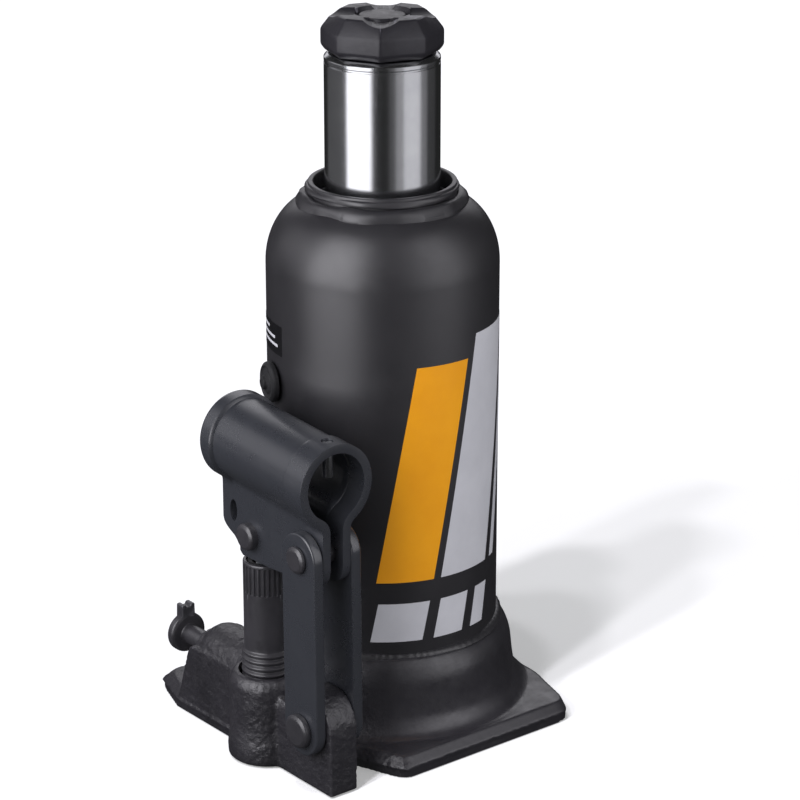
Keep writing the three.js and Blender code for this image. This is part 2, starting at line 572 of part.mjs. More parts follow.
// A spring clip in the pin's groove.
function pinClip(pin, face) {
  const start = 2 * face + CLIP.gap + 0.2;
  return ring(pin.r - CLIP.grooveDepth + RUNNING_GAP, pin.r + CLIP.reach, start, start + CLIP.t,
    SEGMENTS.small)
    .rotateX(-Math.PI / 2).translate(pin.x, PUMP.y - face, pin.z);
}

for (const [name, pin, face] of [
  ['lower_link_pin', LOWER_PIN, LINK_OUTER],
  ['upper_link_pin', UPPER_PIN, LINK_OUTER],
  ['piston_pin', PISTON_PIN, CHEEK_OUTER],
]) {
  addPart(name, headedPin(pin, face), MATERIALS.blackOxide);
  addPart(`${name}_clip`, pinClip(pin, face), MATERIALS.steel);
}

// ---- Handle socket ----

const SOCKET_TILT = Math.atan2(SOCKET.mouthZ - SOCKET.endZ, SOCKET.endX - SOCKET.mouthX);
const SOCKET_LENGTH = Math.hypot(SOCKET.mouthZ - SOCKET.endZ, SOCKET.endX - SOCKET.mouthX);

// A round bar on the socket's tilted axis, between two distances from its mouth.
const alongSocket = (r, from, to, segments) =>
  disc(r, from, to, segments).rotateY(Math.PI / 2 + SOCKET_TILT)
    .translate(SOCKET.mouthX, PUMP.y, SOCKET.mouthZ);

// One sheet bent round the handle: a tube over two flat cheeks, open between them.
function handleSocket() {
  const cheekShape = new THREE.Shape();
  cheekShape.moveTo(CHEEK.left, SOCKET.mouthZ);
  cheekShape.lineTo(CHEEK.left, 107);
  cheekShape.quadraticCurveTo(CHEEK.left + 0.5, 103, -1, 100.5);
  cheekShape.lineTo(6.5, CHEEK.foot + 0.4);
  cheekShape.quadraticCurveTo(8, CHEEK.foot, 11, CHEEK.foot);
  cheekShape.lineTo(CHEEK.right - 8, CHEEK.foot + 1);
  cheekShape.quadraticCurveTo(CHEEK.right, CHEEK.foot + 1, CHEEK.right, 103);
  cheekShape.lineTo(CHEEK.right, SOCKET.endZ);
  cheekShape.closePath();
  const plates = [-1, 1].map((side) => {
    const near = PUMP.y + Math.min(side * CHEEK.gap / 2, side * CHEEK_OUTER);
    return plateXZ(cheekShape, near, near + CHEEK.t);
  });
  const bands = [
    alongSocket(SOCKET_BANDS.mouthR, 0, SOCKET_BANDS.mouthLength, SEGMENTS.medium),
    alongSocket(SOCKET_BANDS.endR, SOCKET_LENGTH - SOCKET_BANDS.endLength, SOCKET_LENGTH,
      SEGMENTS.medium),
  ];
  const bore = alongSocket(SOCKET.bore, -5, SOCKET_LENGTH + 5, SEGMENTS.medium);
  const slit = box(SOCKET.mouthX - 30, SOCKET.endX + 30, PUMP.y - CHEEK.gap / 2,
    PUMP.y + CHEEK.gap / 2, CHEEK.foot - 10, SOCKET.endZ - 8);
  const pinHoles = [UPPER_PIN, PISTON_PIN].map((pin) =>
    barY(pin.r + PIN_HOLE_GAP, PUMP.y - SOCKET.r, PUMP.y + SOCKET.r, pin.x, pin.z, SEGMENTS.small));
  const slotShape = new THREE.Shape();
  slotShape.absellipse(CHEEK_SLOT.x, CHEEK_SLOT.z, CHEEK_SLOT.halfWidth, CHEEK_SLOT.halfHeight,
    0, 2 * Math.PI, false, 0);
  const slot = plateXZ(slotShape, PUMP.y - SOCKET.r, PUMP.y);
  const stopHole = disc(STOP_PIN.r + RUNNING_GAP, STOP_PIN.top - 8, STOP_PIN.top + 7, SEGMENTS.tiny)
    .translate(STOP_PIN.x, PUMP.y, 0);
  return carve(alongSocket(SOCKET.r, 0, SOCKET_LENGTH, SEGMENTS.medium),
    [...plates, ...bands], [bore, slit, ...pinHoles, slot, stopHole]);
}

addPart('handle_socket', handleSocket(), MATERIALS.leverPaint);
addPart('socket_stop_pin', disc(STOP_PIN.r, STOP_PIN.foot, STOP_PIN.top, SEGMENTS.tiny),
  MATERIALS.steel, (mesh) => mesh.position.set(STOP_PIN.x, PUMP.y, 0));

// ---- Release valve ----

function releaseValveScrew() {
  const { stemR, tip, knobInner, knobR, knobLength, ear, earHalf, grooveFoot, grooveTop, y, z } = VALVE;
  const knobOuter = knobInner - knobLength;
  const stem = turned([
    [0, knobOuter], [knobR - 0.8, knobOuter], [knobR, knobOuter + 0.8],
    [knobR, knobInner - 0.8], [knobR - 0.8, knobInner], [stemR, knobInner], [stemR, grooveFoot],
    [stemR - 1.5, grooveFoot], [stemR - 1.5, grooveTop], [stemR, grooveTop], [stemR, tip - 2],
    [2, tip - RUNNING_GAP], [0, tip - RUNNING_GAP],
  ], SEGMENTS.small);
  const earPlate = box(-ear, -knobR + 1.2, -earHalf, earHalf, knobOuter, knobInner);
  return carve(stem, [earPlate], []).rotateY(Math.PI / 2).translate(0, y, z);
}

addPart('release_valve_screw', releaseValveScrew(), MATERIALS.blackOxide);
addPart('release_valve_o_ring', ring(VALVE.stemR - 1.2, VALVE.stemR + RUNNING_GAP,
  VALVE.grooveFoot + 0.4, VALVE.grooveTop - 0.4, SEGMENTS.small), MATERIALS.rubber, (mesh) => {
    mesh.geometry.rotateY(Math.PI / 2);
    mesh.position.set(0, VALVE.y, VALVE.z);
  });

export default jack;
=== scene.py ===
"""Looks of the hydraulic bottle jack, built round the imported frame.

Outlines are written in millimetres in the frame's own axes and turned into metres when
a mesh is made. +Z is up, the pump side faces -Y and the handle goes in from -X.
"""

import json
import math

import bmesh
import bpy
import numpy as np
from mathutils import Matrix, Vector, noise


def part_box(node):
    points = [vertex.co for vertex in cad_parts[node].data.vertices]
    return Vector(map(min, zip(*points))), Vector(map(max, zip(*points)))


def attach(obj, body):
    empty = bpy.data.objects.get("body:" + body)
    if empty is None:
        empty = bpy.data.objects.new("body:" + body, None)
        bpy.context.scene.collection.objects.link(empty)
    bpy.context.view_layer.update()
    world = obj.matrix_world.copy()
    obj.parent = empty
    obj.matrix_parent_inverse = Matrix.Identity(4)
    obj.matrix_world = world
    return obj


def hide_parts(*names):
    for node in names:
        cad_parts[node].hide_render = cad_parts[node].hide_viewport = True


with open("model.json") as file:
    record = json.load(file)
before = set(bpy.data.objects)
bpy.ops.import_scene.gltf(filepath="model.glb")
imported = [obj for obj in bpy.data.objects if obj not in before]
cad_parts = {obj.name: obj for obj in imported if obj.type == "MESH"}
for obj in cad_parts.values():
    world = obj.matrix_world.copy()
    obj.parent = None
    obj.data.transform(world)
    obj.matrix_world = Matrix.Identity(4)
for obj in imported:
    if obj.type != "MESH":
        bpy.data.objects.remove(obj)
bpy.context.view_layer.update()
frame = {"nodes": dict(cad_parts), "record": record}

MM = 0.001
TAU = 2 * math.pi
FINE = 160      # steps round a large turned piece
MEDIUM = 96     # steps round a small turned piece
SMALL = 48      # steps round a pin or a bore


# ---------------------------------------------------------------- places from the frame

def span(node):
    """Lowest and highest corner of a CAD node, in millimetres."""
    low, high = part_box(node)
    return Vector(low) / MM, Vector(high) / MM


def middle(node):
    low, high = span(node)
    return (low + high) / 2


BASE_HIGH = span("base_casting")[1]
TANK_HIGH = span("reservoir_tank")[1]
PUMP_AT = middle("pump_cylinder")
LOWER_PIN_AT = middle("lower_link_pin")
UPPER_PIN_AT = middle("upper_link_pin")
PISTON_PIN_AT = middle("piston_pin")
LINK_FRONT_LOW, LINK_FRONT_HIGH = span("link_front")
LINK_REAR_LOW, LINK_REAR_HIGH = span("link_rear")
VALVE_AT = middle("release_valve_o_ring")
VALVE_LOW = span("release_valve_screw")[0]
FILLER_AT = middle("filler_plug")

PUMP_X, PUMP_Y = PUMP_AT.x, PUMP_AT.y
TANK_R = 51.0
COLLAR_TOP = 42.5
TANK_SEAT = 14.0
NECK_R = 32.4
NECK_TOP = TANK_HIGH.z
RAM_R = 25.0
RAM_TOP = span("ram")[1].z
HEAD_TOP = span("extension_screw")[1].z
SADDLE_TURN = math.radians(-40.5)
PLATE_TOP = 9.0
LUG_HALF = 7.15
BEAD_LEAN = 0.35        # how far a weld bead slopes down and out
DECAL_LIFT = 0.12       # printed film stands this far off the tank
LABEL_BAR_LIFT = 0.22   # the label's bars lie over the label
FILM = 0.08             # thickness of the film

MOUTH_X, END_X = -9.0, 62.0         # the socket's two ends and the height of its axis there
MOUTH_Z, END_Z = 143.9, 139.9
CHEEK_FACE = 7.25
SHEET = 4.0
TUBE_R = 17.8


# ---------------------------------------------------------------- mesh helpers

def make(name, verts, faces):
    """A mesh object from points in millimetres."""
    mesh = bpy.data.meshes.new(name)
    mesh.from_pydata([Vector(v) * MM for v in verts], [], faces)
    mesh.validate()
    obj = bpy.data.objects.new(name, mesh)
    bpy.context.collection.objects.link(obj)
    return outward(obj)


def outward(obj):
    """Merges doubled points and turns the faces outward."""
    work = bmesh.new()
    work.from_mesh(obj.data)
    bmesh.ops.remove_doubles(work, verts=work.verts, dist=1e-7)
    bmesh.ops.recalc_face_normals(work, faces=work.faces)
    work.to_mesh(obj.data)
    work.free()
    return obj


def moved(obj, matrix):
    """Moves the mesh itself; the matrix is in millimetres."""
    scaled = matrix.copy()
    scaled.translation = matrix.translation * MM
    obj.data.transform(scaled)
    return obj


def baked(obj):
    """Applies every modifier to the mesh."""
    bpy.context.view_layer.update()
    graph = bpy.context.evaluated_depsgraph_get()
    mesh = bpy.data.meshes.new_from_object(obj.evaluated_get(graph))
    obj.modifiers.clear()
    obj.data = mesh
    return obj


def smooth(obj, angle=35):
    obj.data.shade_smooth()
    obj.data.set_sharp_from_angle(angle=math.radians(angle))
    return obj


def softened(outline, steps=4):
    """Rounds each corner of a closed outline by its third number, the reach of the curve."""
    points = []
    count = len(outline)
    for i, corner in enumerate(outline):
        here = Vector(corner[:2])
        if len(corner) < 3:
            points.append(here)
            continue
        back = Vector(outline[i - 1][:2]) - here
        ahead = Vector(outline[(i + 1) % count][:2]) - here
        reach = min(corner[2], 0.48 * back.length, 0.48 * ahead.length)
        start = here + back.normalized() * reach
        end = here + ahead.normalized() * reach
        for k in range(steps + 1):
            t = k / steps
            points.append(start * (1 - t) ** 2 + here * 2 * t * (1 - t) + end * t * t)
    return points


def lathe(name, outline, steps=MEDIUM):
    """A solid of revolution about Z from a closed outline of (radius, z) points."""
    profile = softened(outline)
    verts, faces, rings = [], [], []
    for radius, z in profile:
        if radius < 1e-6:
            rings.append([len(verts)] * steps)
            verts.append((0, 0, z))
            continue
        rings.append(list(range(len(verts), len(verts) + steps)))
        for k in range(steps):
            angle = TAU * k / steps
            verts.append((radius * math.cos(angle), radius * math.sin(angle), z))
    for i, ring in enumerate(rings):
        following = rings[(i + 1) % len(rings)]
        if len(set(ring)) == 1 and len(set(following)) == 1:
            continue
        for k in range(steps):
            n = (k + 1) % steps
            corners = [ring[k], ring[n], following[n], following[k]]
            faces.append(list(dict.fromkeys(corners)))
    return make(name, verts, faces)


def prism(name, outline, start, end, axis="Z"):
    """A straight extrusion of a closed outline: in XY along Z, or in XZ along Y."""
    points = softened(outline, 8)
    count = len(points)
    verts = []
    for level in (start, end):
        for a, b in points:
            verts.append((a, b, level) if axis == "Z" else (a, level, b))
    faces = [list(range(count)), list(range(count, 2 * count))]
    for i in range(count):
        n = (i + 1) % count
        faces.append([i, n, n + count, i + count])
    return make(name, verts, faces)


def joined(name, objects):
    """One object holding the meshes of all of them."""
    work = bmesh.new()
    for obj in objects:
        work.from_mesh(obj.data)
        bpy.data.objects.remove(obj)
    mesh = bpy.data.meshes.new(name)
    work.to_mesh(mesh)
    work.free()
    obj = bpy.data.objects.new(name, mesh)
    bpy.context.collection.objects.link(obj)
    return obj


def combined(obj, others, operation):
    """Cuts or joins closed meshes."""
    for other in others:
        change = obj.modifiers.new("combine", "BOOLEAN")
        change.operation = operation
        change.solver = "EXACT"
        change.object = other
        baked(obj)
        bpy.data.objects.remove(other)
    return obj


def beveled(obj, width, segments=3, angle=32):
    edge = obj.modifiers.new("bevel", "BEVEL")
    edge.width = width * MM
    edge.segments = segments
    edge.limit_method = "ANGLE"
    edge.angle_limit = math.radians(angle)
    edge.harden_normals = False
    return baked(obj)


def bar_y(name, radius, y0, y1, x, z, steps=SMALL):
    """A round bar along Y."""
    obj = lathe(name, [(0, -y1), (radius, -y1), (radius, -y0), (0, -y0)], steps)
    return moved(obj, Matrix.Translation((x, 0, z)) @ Matrix.Rotation(math.pi / 2, 4, "X"))


def bar_x(name, radius, x0, x1, y, z, steps=SMALL):
    """A round bar along X."""
    obj = lathe(name, [(0, x0), (radius, x0), (radius, x1), (0, x1)], steps)
    return moved(obj, Matrix.Translation((0, y, z)) @ Matrix.Rotation(math.pi / 2, 4, "Y"))


def finished(obj, body, material, replaced=(), angle=35):
    """Shades, colours and attaches one finished piece."""
    smooth(obj, angle)
    obj.data.materials.clear()
    obj.data.materials.append(material)
    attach(obj, body)
    if replaced:
        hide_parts(*replaced)
    return obj


# ---------------------------------------------------------------- materials

def blank(name):
    material = bpy.data.materials.new(name)
    material.use_nodes = True
    tree = material.node_tree
    shader = tree.nodes["Principled BSDF"]
    return material, tree, shader


def noise_node(tree, scale, detail=4.0, roughness=0.55, stretch=None):
    """Noise in object space; scale is in cells per metre."""
    where = tree.nodes.new("ShaderNodeTexCoord")
    field = tree.nodes.new("ShaderNodeTexNoise")
    field.inputs["Scale"].default_value = scale
    field.inputs["Detail"].default_value = detail
    field.inputs["Roughness"].default_value = roughness
    source = where.outputs["Object"]
    if stretch:
        mapping = tree.nodes.new("ShaderNodeMapping")
        mapping.inputs["Scale"].default_value = stretch
        tree.links.new(source, mapping.inputs["Vector"])
        source = mapping.outputs["Vector"]
    tree.links.new(source, field.inputs["Vector"])
    return field.outputs["Fac"]


def ramp(tree, source, low, high, start=0.3, end=0.7):
    """Turns a value into a colour or grey between low and high."""
    node = tree.nodes.new("ShaderNodeValToRGB")
    node.color_ramp.elements[0].position = start
    node.color_ramp.elements[1].position = end
    node.color_ramp.elements[0].color = (*low, 1)
    node.color_ramp.elements[1].color = (*high, 1)
    tree.links.new(source, node.inputs["Fac"])
    return node.outputs["Color"]


def grey(value):
    return (value, value, value)


def blend_colours(tree, factor, first, second):
    node = tree.nodes.new("ShaderNodeMix")
    node.data_type = "RGBA"
    tree.links.new(factor, node.inputs["Factor"])
    tree.links.new(first, node.inputs["A"])
    tree.links.new(second, node.inputs["B"])
    return node.outputs["Result"]


def multiply(tree, first, second):
    node = tree.nodes.new("ShaderNodeMath")
    node.operation = "MULTIPLY"
    tree.links.new(first, node.inputs[0])
    tree.links.new(second, node.inputs[1])
    return node.outputs["Value"]


def bumped(tree, shader, layers, mask=None):
    """Stacks bump layers of (height source, strength, distance in millimetres)."""
    previous = None
    for source, strength, distance in layers:
        node = tree.nodes.new("ShaderNodeBump")
        node.inputs["Strength"].default_value = strength
        if mask:
            limit = tree.nodes.new("ShaderNodeMath")
            limit.operation = "MULTIPLY"
            limit.inputs[1].default_value = strength
            tree.links.new(mask, limit.inputs[0])
            tree.links.new(limit.outputs["Value"], node.inputs["Strength"])
        node.inputs["Distance"].default_value = distance * MM
        tree.links.new(source, node.inputs["Height"])
        if previous:
            tree.links.new(previous, node.inputs["Normal"])
        previous = node.outputs["Normal"]
    tree.links.new(previous, shader.inputs["Normal"])


def edge_wear(tree, start, end):
    """Bright where the surface is sharply convex, broken up by noise."""
    geometry = tree.nodes.new("ShaderNodeNewGeometry")
    edges = ramp(tree, geometry.outputs["Pointiness"], grey(0), grey(1), start, end)
    patches = ramp(tree, noise_node(tree, 260, 5, 0.65), grey(0.1), grey(1), 0.42, 0.62)
    return multiply(tree, edges, patches)


def along_y(tree, start, end, low):
    """low where Y is above start, rising to 1 where it is below end (millimetres)."""
    place = tree.nodes.new("ShaderNodeNewGeometry")
    parts = tree.nodes.new("ShaderNodeSeparateXYZ")
    tree.links.new(place.outputs["Position"], parts.inputs["Vector"])
    node = tree.nodes.new("ShaderNodeMapRange")
    node.inputs["From Min"].default_value = start * MM
    node.inputs["From Max"].default_value = end * MM
    node.inputs["To Min"].default_value = low
    tree.links.new(parts.outputs["Y"], node.inputs["Value"])
    return node.outputs["Result"]


DRESSED_BUMP = 0.12     # share of the bump left where Y is above coarse_y


def paint(name, dark, light, roughness, grain, worn=None, wear=(0.53, 0.6), patch_scale=18, index=2.3,
          coarse_y=None):
    """Painted metal: patchy tone, uneven gloss, a grain of bumps and worn edges.

    roughness is (low, high); grain is a list of (scale, strength, distance) bumps. If
    coarse_y is given, they grow from DRESSED_BUMP to full between its two values of Y.
    """
    material, tree, shader = blank(name)
    tone = ramp(tree, noise_node(tree, patch_scale, 6, 0.6), dark, light, 0.32, 0.7)
    gloss = ramp(tree, noise_node(tree, patch_scale * 7, 5, 0.6), grey(roughness[0]), grey(roughness[1]))
    if worn:
        shade = tree.nodes.new("ShaderNodeRGB")
        shade.outputs["Color"].default_value = (*worn, 1)
        tone = blend_colours(tree, edge_wear(tree, *wear), tone, shade.outputs["Color"])
    tree.links.new(tone, shader.inputs["Base Color"])
    tree.links.new(gloss, shader.inputs["Roughness"])
    mask = along_y(tree, *coarse_y, DRESSED_BUMP) if coarse_y else None
    bumped(tree, shader, [(noise_node(tree, s, 5, 0.6), k, d) for s, k, d in grain], mask)
    shader.inputs["IOR"].default_value = index
    return material


def metal(name, dark, light, roughness, stretch, scale=900, bump=0.08):
    """Machined metal with fine turning or grinding marks along one direction."""
    material, tree, shader = blank(name)
    marks = noise_node(tree, scale, 3, 0.5, stretch)
    tone = ramp(tree, noise_node(tree, 70, 5, 0.6), dark, light, 0.3, 0.7)
    gloss = ramp(tree, marks, grey(roughness[0]), grey(roughness[1]), 0.25, 0.75)
    tree.links.new(tone, shader.inputs["Base Color"])
    tree.links.new(gloss, shader.inputs["Roughness"])
    shader.inputs["Metallic"].default_value = 1.0
    bumped(tree, shader, [(marks, bump, 0.05)])
    return material


def dull(name, dark, light, roughness, scale=600, bump=0.2):
    """Rubber and moulded seals."""
    material, tree, shader = blank(name)
    tone = ramp(tree, noise_node(tree, 90, 5, 0.6), dark, light)
    gloss = ramp(tree, noise_node(tree, 300, 4, 0.6), grey(roughness[0]), grey(roughness[1]))
    tree.links.new(tone, shader.inputs["Base Color"])
    tree.links.new(gloss, shader.inputs["Roughness"])
    bumped(tree, shader, [(noise_node(tree, scale, 4, 0.6), bump, 0.1)])
    return material


TURNED = (1.0, 1.0, 30.0)     # marks run round Z

FINISHES = {
    "cast_paint": paint("cast_paint", (0.019, 0.018, 0.022), (0.031, 0.029, 0.035), (0.28, 0.46),
                        [(110, 0.3, 0.6), (420, 0.75, 0.55), (900, 0.7, 0.3), (2200, 0.4, 0.1)],
                        worn=(0.12, 0.115, 0.13), patch_scale=26, coarse_y=(-34, -48)),
    "tank_paint": paint("tank_paint", (0.0165, 0.0158, 0.0185), (0.0225, 0.0215, 0.0250), (0.37, 0.44),
                        [(90, 0.12, 0.3), (2600, 0.12, 0.05)], patch_scale=14),
    "lever_paint": paint("lever_paint", (0.032, 0.034, 0.041), (0.037, 0.0395, 0.047), (0.25, 0.32),
                         [(60, 0.12, 0.4), (1400, 0.12, 0.06)], patch_scale=12),
    "black_oxide": paint("black_oxide", (0.026, 0.025, 0.029), (0.044, 0.042, 0.048), (0.28, 0.42),
                         [(300, 0.25, 0.2), (1400, 0.3, 0.08)],
                         worn=(0.20, 0.20, 0.22), patch_scale=60),
    "chrome": metal("chrome", (0.72, 0.73, 0.75), (0.80, 0.81, 0.82), (0.18, 0.23), TURNED, 500, 0.02),
    "steel": metal("steel", (0.36, 0.37, 0.39), (0.50, 0.51, 0.53), (0.24, 0.4), TURNED),
    "rubber": dull("rubber", (0.014, 0.014, 0.015), (0.028, 0.028, 0.030), (0.5, 0.75)),
    "seal": dull("seal", (0.22, 0.055, 0.03), (0.34, 0.09, 0.05), (0.45, 0.6)),
    "copper": metal("copper", (0.52, 0.25, 0.13), (0.68, 0.36, 0.2), (0.3, 0.45), TURNED),
}


HEAD_PAINT = paint("head_paint", (0.017, 0.016, 0.019), (0.027, 0.026, 0.031), (0.30, 0.42),
                   [(240, 0.3, 0.3), (1400, 0.3, 0.1)], worn=(0.17, 0.165, 0.19), wear=(0.55, 0.62),
                   patch_scale=40, index=1.6)


def decal_paint(name, colour, shade):
    """Printed film: nearly even colour with faint mottling and its own satin gloss."""
    material, tree, shader = blank(name)
    tone = ramp(tree, noise_node(tree, 45, 6, 0.6), shade, colour)
    gloss = ramp(tree, noise_node(tree, 300, 4, 0.6), grey(0.32), grey(0.42))
    tree.links.new(tone, shader.inputs["Base Color"])
    tree.links.new(gloss, shader.inputs["Roughness"])
    bumped(tree, shader, [(noise_node(tree, 2200, 4, 0.6), 0.1, 0.04)])
    return material


ORANGE = decal_paint("decal_orange", (0.95, 0.40, 0.008), (0.88, 0.35, 0.006))
PALE = decal_paint("decal_pale", (0.62, 0.62, 0.65), (0.55, 0.55, 0.58))
BLACK = decal_paint("decal_black", (0.010, 0.010, 0.011), (0.007, 0.007, 0.008))


# ---------------------------------------------------------------- base casting

VOXEL = 0.85

# cells per metre and height in millimetres of the skin's unevenness
LUMPS = (60, 0.26)
GRAINS = (520, 0.22)
PITS = (260, 0.9)
PIT_SHIFT = Vector((7, 3, 5))
PIT_START = 0.34        # noise above this digs a pit
DRESSED = 0.08          # share of grain and pits left where cast_coarseness is 0


def plate_outline(inset):
    """The foot seen from above, drawn in by inset."""
    side = BASE_HIGH.x - inset
    back = BASE_HIGH.y - inset
    front = -80.5 + inset
    return [
        (side, -44 + inset, 3), (side, 50, 6), (36.5, back, 6), (-36.5, back, 6), (-side, 50, 6),
        (-side, -73 + inset, 3), (-50, front, 3), (30, front, 1), (47.7, -54 + inset, 3),
        (65, -47.6 + inset, 3),
    ]


def foot_plate():
    """The plate: an upright lower edge, a parting seam and a sloping upper edge."""
    low = softened(plate_outline(0))
    high = softened(plate_outline(3.2))
    seam = softened(plate_outline(-0.9))
    middle_z = PLATE_TOP * 0.5
    levels = [(low, 0.0), (low, middle_z - 0.9), (seam, middle_z), (low, middle_z + 0.9),
              (high, PLATE_TOP)]
    count = len(low)
    verts = [(x, y, z) for outline, z in levels for x, y in outline]
    last = len(levels) - 1
    faces = [list(range(count)), list(range(last * count, (last + 1) * count))]
    for level in range(last):
        for i in range(count):
            n = (i + 1) % count
            start = level * count
            faces.append([start + i, start + n, start + n + count, start + i + count])
    return make("plate", verts, faces)


def collar():
    """The tank's socket, flaring into the plate; its back stays inside the plate's edge."""
    obj = lathe("collar", [
        (0, 0.5), (67, 0.5), (67, 8.6), (62.6, 11, 3), (60.0, 15.5, 3), (58.9, 22, 4), (57.6, 34, 5),
        (55.4, 39.6, 3), (52.8, COLLAR_TOP, 1), (TANK_R + 0.35, COLLAR_TOP),
        (TANK_R + 0.35, TANK_SEAT), (0, TANK_SEAT),
    ], FINE)
    limit = (BASE_HIGH.y - 3.4) * MM
    for vertex in obj.data.vertices:
        vertex.co.y = min(vertex.co.y, limit)
    return obj


def front_block():
    return prism("block", [
        (-50, 0.5), (34, 0.5), (34, 33, 4), (-39.5, 35, 5), (-48.5, 8),
    ], -80.4, -44, "Y")


def pump_boss():
    obj = lathe("pump_boss", [
        (0, 0.3), (18, 0.3, 1.5), (18.2, 7, 3), (17, 15, 4), (17, 37, 3), (14.6, 40.4, 1.5), (0, 40.4),
    ], MEDIUM)
    return moved(obj, Matrix.Translation((PUMP_X, PUMP_Y, 0)))


def valve_boss():
    dome_at = Vector((-27.0, VALVE_AT.y, VALVE_AT.z + 2))
    radius = 13.0
    tube = bar_x("valve_tube", radius, dome_at.x, PUMP_X, dome_at.y, dome_at.z)
    arc = [(radius * math.cos(a), radius * math.sin(a))
           for a in (math.pi * (k / 16 - 0.5) for k in range(1, 16))]
    dome = moved(lathe("valve_dome", [(0, -radius), *arc, (0, radius)], SMALL),
                 Matrix.Translation(dome_at))
    nose = bar_x("valve_nose", 7.6, dome_at.x - 15.5, dome_at.x, VALVE_AT.y, VALVE_AT.z)
    return [tube, dome, nose]


def link_lug():
    """The ear that holds the lower link pin, on a web from the pump boss."""
    x, z, radius = LOWER_PIN_AT.x - 1, LOWER_PIN_AT.z, 15.0
    arc = [(x + radius * math.cos(a), z + radius * math.sin(a))
           for a in (math.pi / 2 * k / 12 for k in range(13))]
    outline = [(PUMP_X, 0.3), (x + radius, 0.3), *arc, (43.5, z + radius, 4), (34, 30, 6), (PUMP_X, 30)]
    return prism("lug", outline, PUMP_Y - LUG_HALF, PUMP_Y + LUG_HALF, "Y")


def cast_coarseness(where, flatness):
    """1 on the pump side's bosses and the plate's edge, 0 on the dressed collar and plate top."""
    bosses = min(1.0, max(0.0, (-36 - where.y) / 12))
    edge = 1.0 if where.z < PLATE_TOP - 0.8 and flatness < 0.5 else 0.0
    return max(bosses, edge)


def cast_skin(obj):
    """Softens and roughens a remeshed casting, as sand leaves it; the floor side stays flat."""
    mesh = obj.data
    count = len(mesh.vertices)
    flat = np.empty(count * 3)
    mesh.vertices.foreach_get("co", flat)
    normals = np.empty(count * 3)
    mesh.vertex_normals.foreach_get("vector", normals)
    points = flat.reshape(-1, 3)
    normals = normals.reshape(-1, 3)
    for i, point in enumerate(points):
        where = Vector(point)
        lumps = noise.noise(where * LUMPS[0]) * LUMPS[1]
        grains = noise.noise(where * GRAINS[0]) * GRAINS[1]
        pits = -max(0.0, noise.noise(where * PITS[0] + PIT_SHIFT) - PIT_START) * PITS[1]
        coarse = DRESSED + (1 - DRESSED) * cast_coarseness(where / MM, abs(normals[i][2]))
        fade = min(1.0, max(0.0, (point[2] / MM - 0.4) / 2))
        points[i] += normals[i] * (lumps + (grains + pits) * coarse) * fade * MM
    mesh.vertices.foreach_set("co", points.reshape(-1))
    mesh.update()
    return obj


def base_casting():
    blocks = [foot_plate(), collar(), front_block(), pump_boss(), *valve_boss(), link_lug()]
    obj = joined("base_cast", blocks)
    remesh = obj.modifiers.new("remesh", "REMESH")
    remesh.mode = "VOXEL"
    remesh.voxel_size = VOXEL * MM
    baked(obj)
    relax = obj.modifiers.new("relax", "SMOOTH")
    relax.factor = 0.5
    relax.iterations = 2
    baked(obj)
    cast_skin(obj)
    bores = [
        lathe("pump_bore", [(0, 16), (11.9, 16), (11.9, 36.5), (13.2, 41), (13.2, 55), (0, 55)], MEDIUM),
        bar_x("valve_bore", 5.2, -60, -19, VALVE_AT.y, VALVE_AT.z),
        bar_y("lug_hole", 6.35, -100, -50, LOWER_PIN_AT.x, LOWER_PIN_AT.z),
    ]
    moved(bores[0], Matrix.Translation((PUMP_X, PUMP_Y, 0)))
    combined(obj, bores, "DIFFERENCE")
    return finished(obj, "base", FINISHES["cast_paint"], ["base_casting"], 50)


# ---------------------------------------------------------------- tank and its welds

def reservoir_tank():
    """A tube drawn in to a neck over a part-elliptical shoulder."""
    shoulder_z, drop, rise = 209.5, 22.7, 28.8
    wall, sweep = 3.5, 0.4 * math.pi

    def shoulder(offset, count):
        arc = []
        for k in range(count + 1):
            angle = sweep * k / count
            arc.append((TANK_R - drop + (drop - offset) * math.cos(angle),
                        shoulder_z + (rise - offset) * math.sin(angle)))
        return arc

    outer = shoulder(0.0, 20)
    inner = shoulder(wall, 12)
    outline = [
        (TANK_R - wall, TANK_SEAT + 0.3), (TANK_R, TANK_SEAT + 0.3), *outer,
        (NECK_R + 0.2, 239.2), (NECK_R, 241.6), (NECK_R, NECK_TOP, 0.9), (30, NECK_TOP, 0.9),
        (30, 234.5), *reversed(inner),
    ]
    obj = lathe("tank_shell", outline, FINE)
    return finished(obj, "base", FINISHES["tank_paint"], ["reservoir_tank"], 30)


def weld_bead(name, radius, z, width, height, ripple, unevenness):
    """A painted-over weld bead: a low swell that wanders, with faint ripples left in it."""
    around, section, ripples = 720, 16, 90
    verts, faces = [], []
    for i in range(around):
        turn = TAU * i / around
        where = Vector((math.cos(turn), math.sin(turn), z * 0.01))
        wander = noise.noise(where * 1.3) * unevenness
        swell = 1 + 0.35 * noise.noise(where * 1.6) + 0.10 * noise.noise(where * 4)
        phase = turn * ripples / TAU + noise.noise(where * 5) * 0.8
        swell += ripple * math.sin(TAU * phase)
        for j in range(section):
            angle = TAU * j / section
            out = width * swell * math.cos(angle)
            up = height * swell * math.sin(angle)
            lump = 0.9 * noise.noise(Vector((2 * math.cos(turn), 2 * math.sin(turn), up * 0.45)))
            r = radius + out + lump
            verts.append((r * math.cos(turn), r * math.sin(turn), z + up + wander - out * BEAD_LEAN))
    for i in range(around):
        for j in range(section):
            a, b = i * section + j, i * section + (j + 1) % section
            following = section * around
            faces.append([a, b, (b + section) % following, (a + section) % following])
    return finished(make(name, verts, faces), "base", FINISHES["tank_paint"])


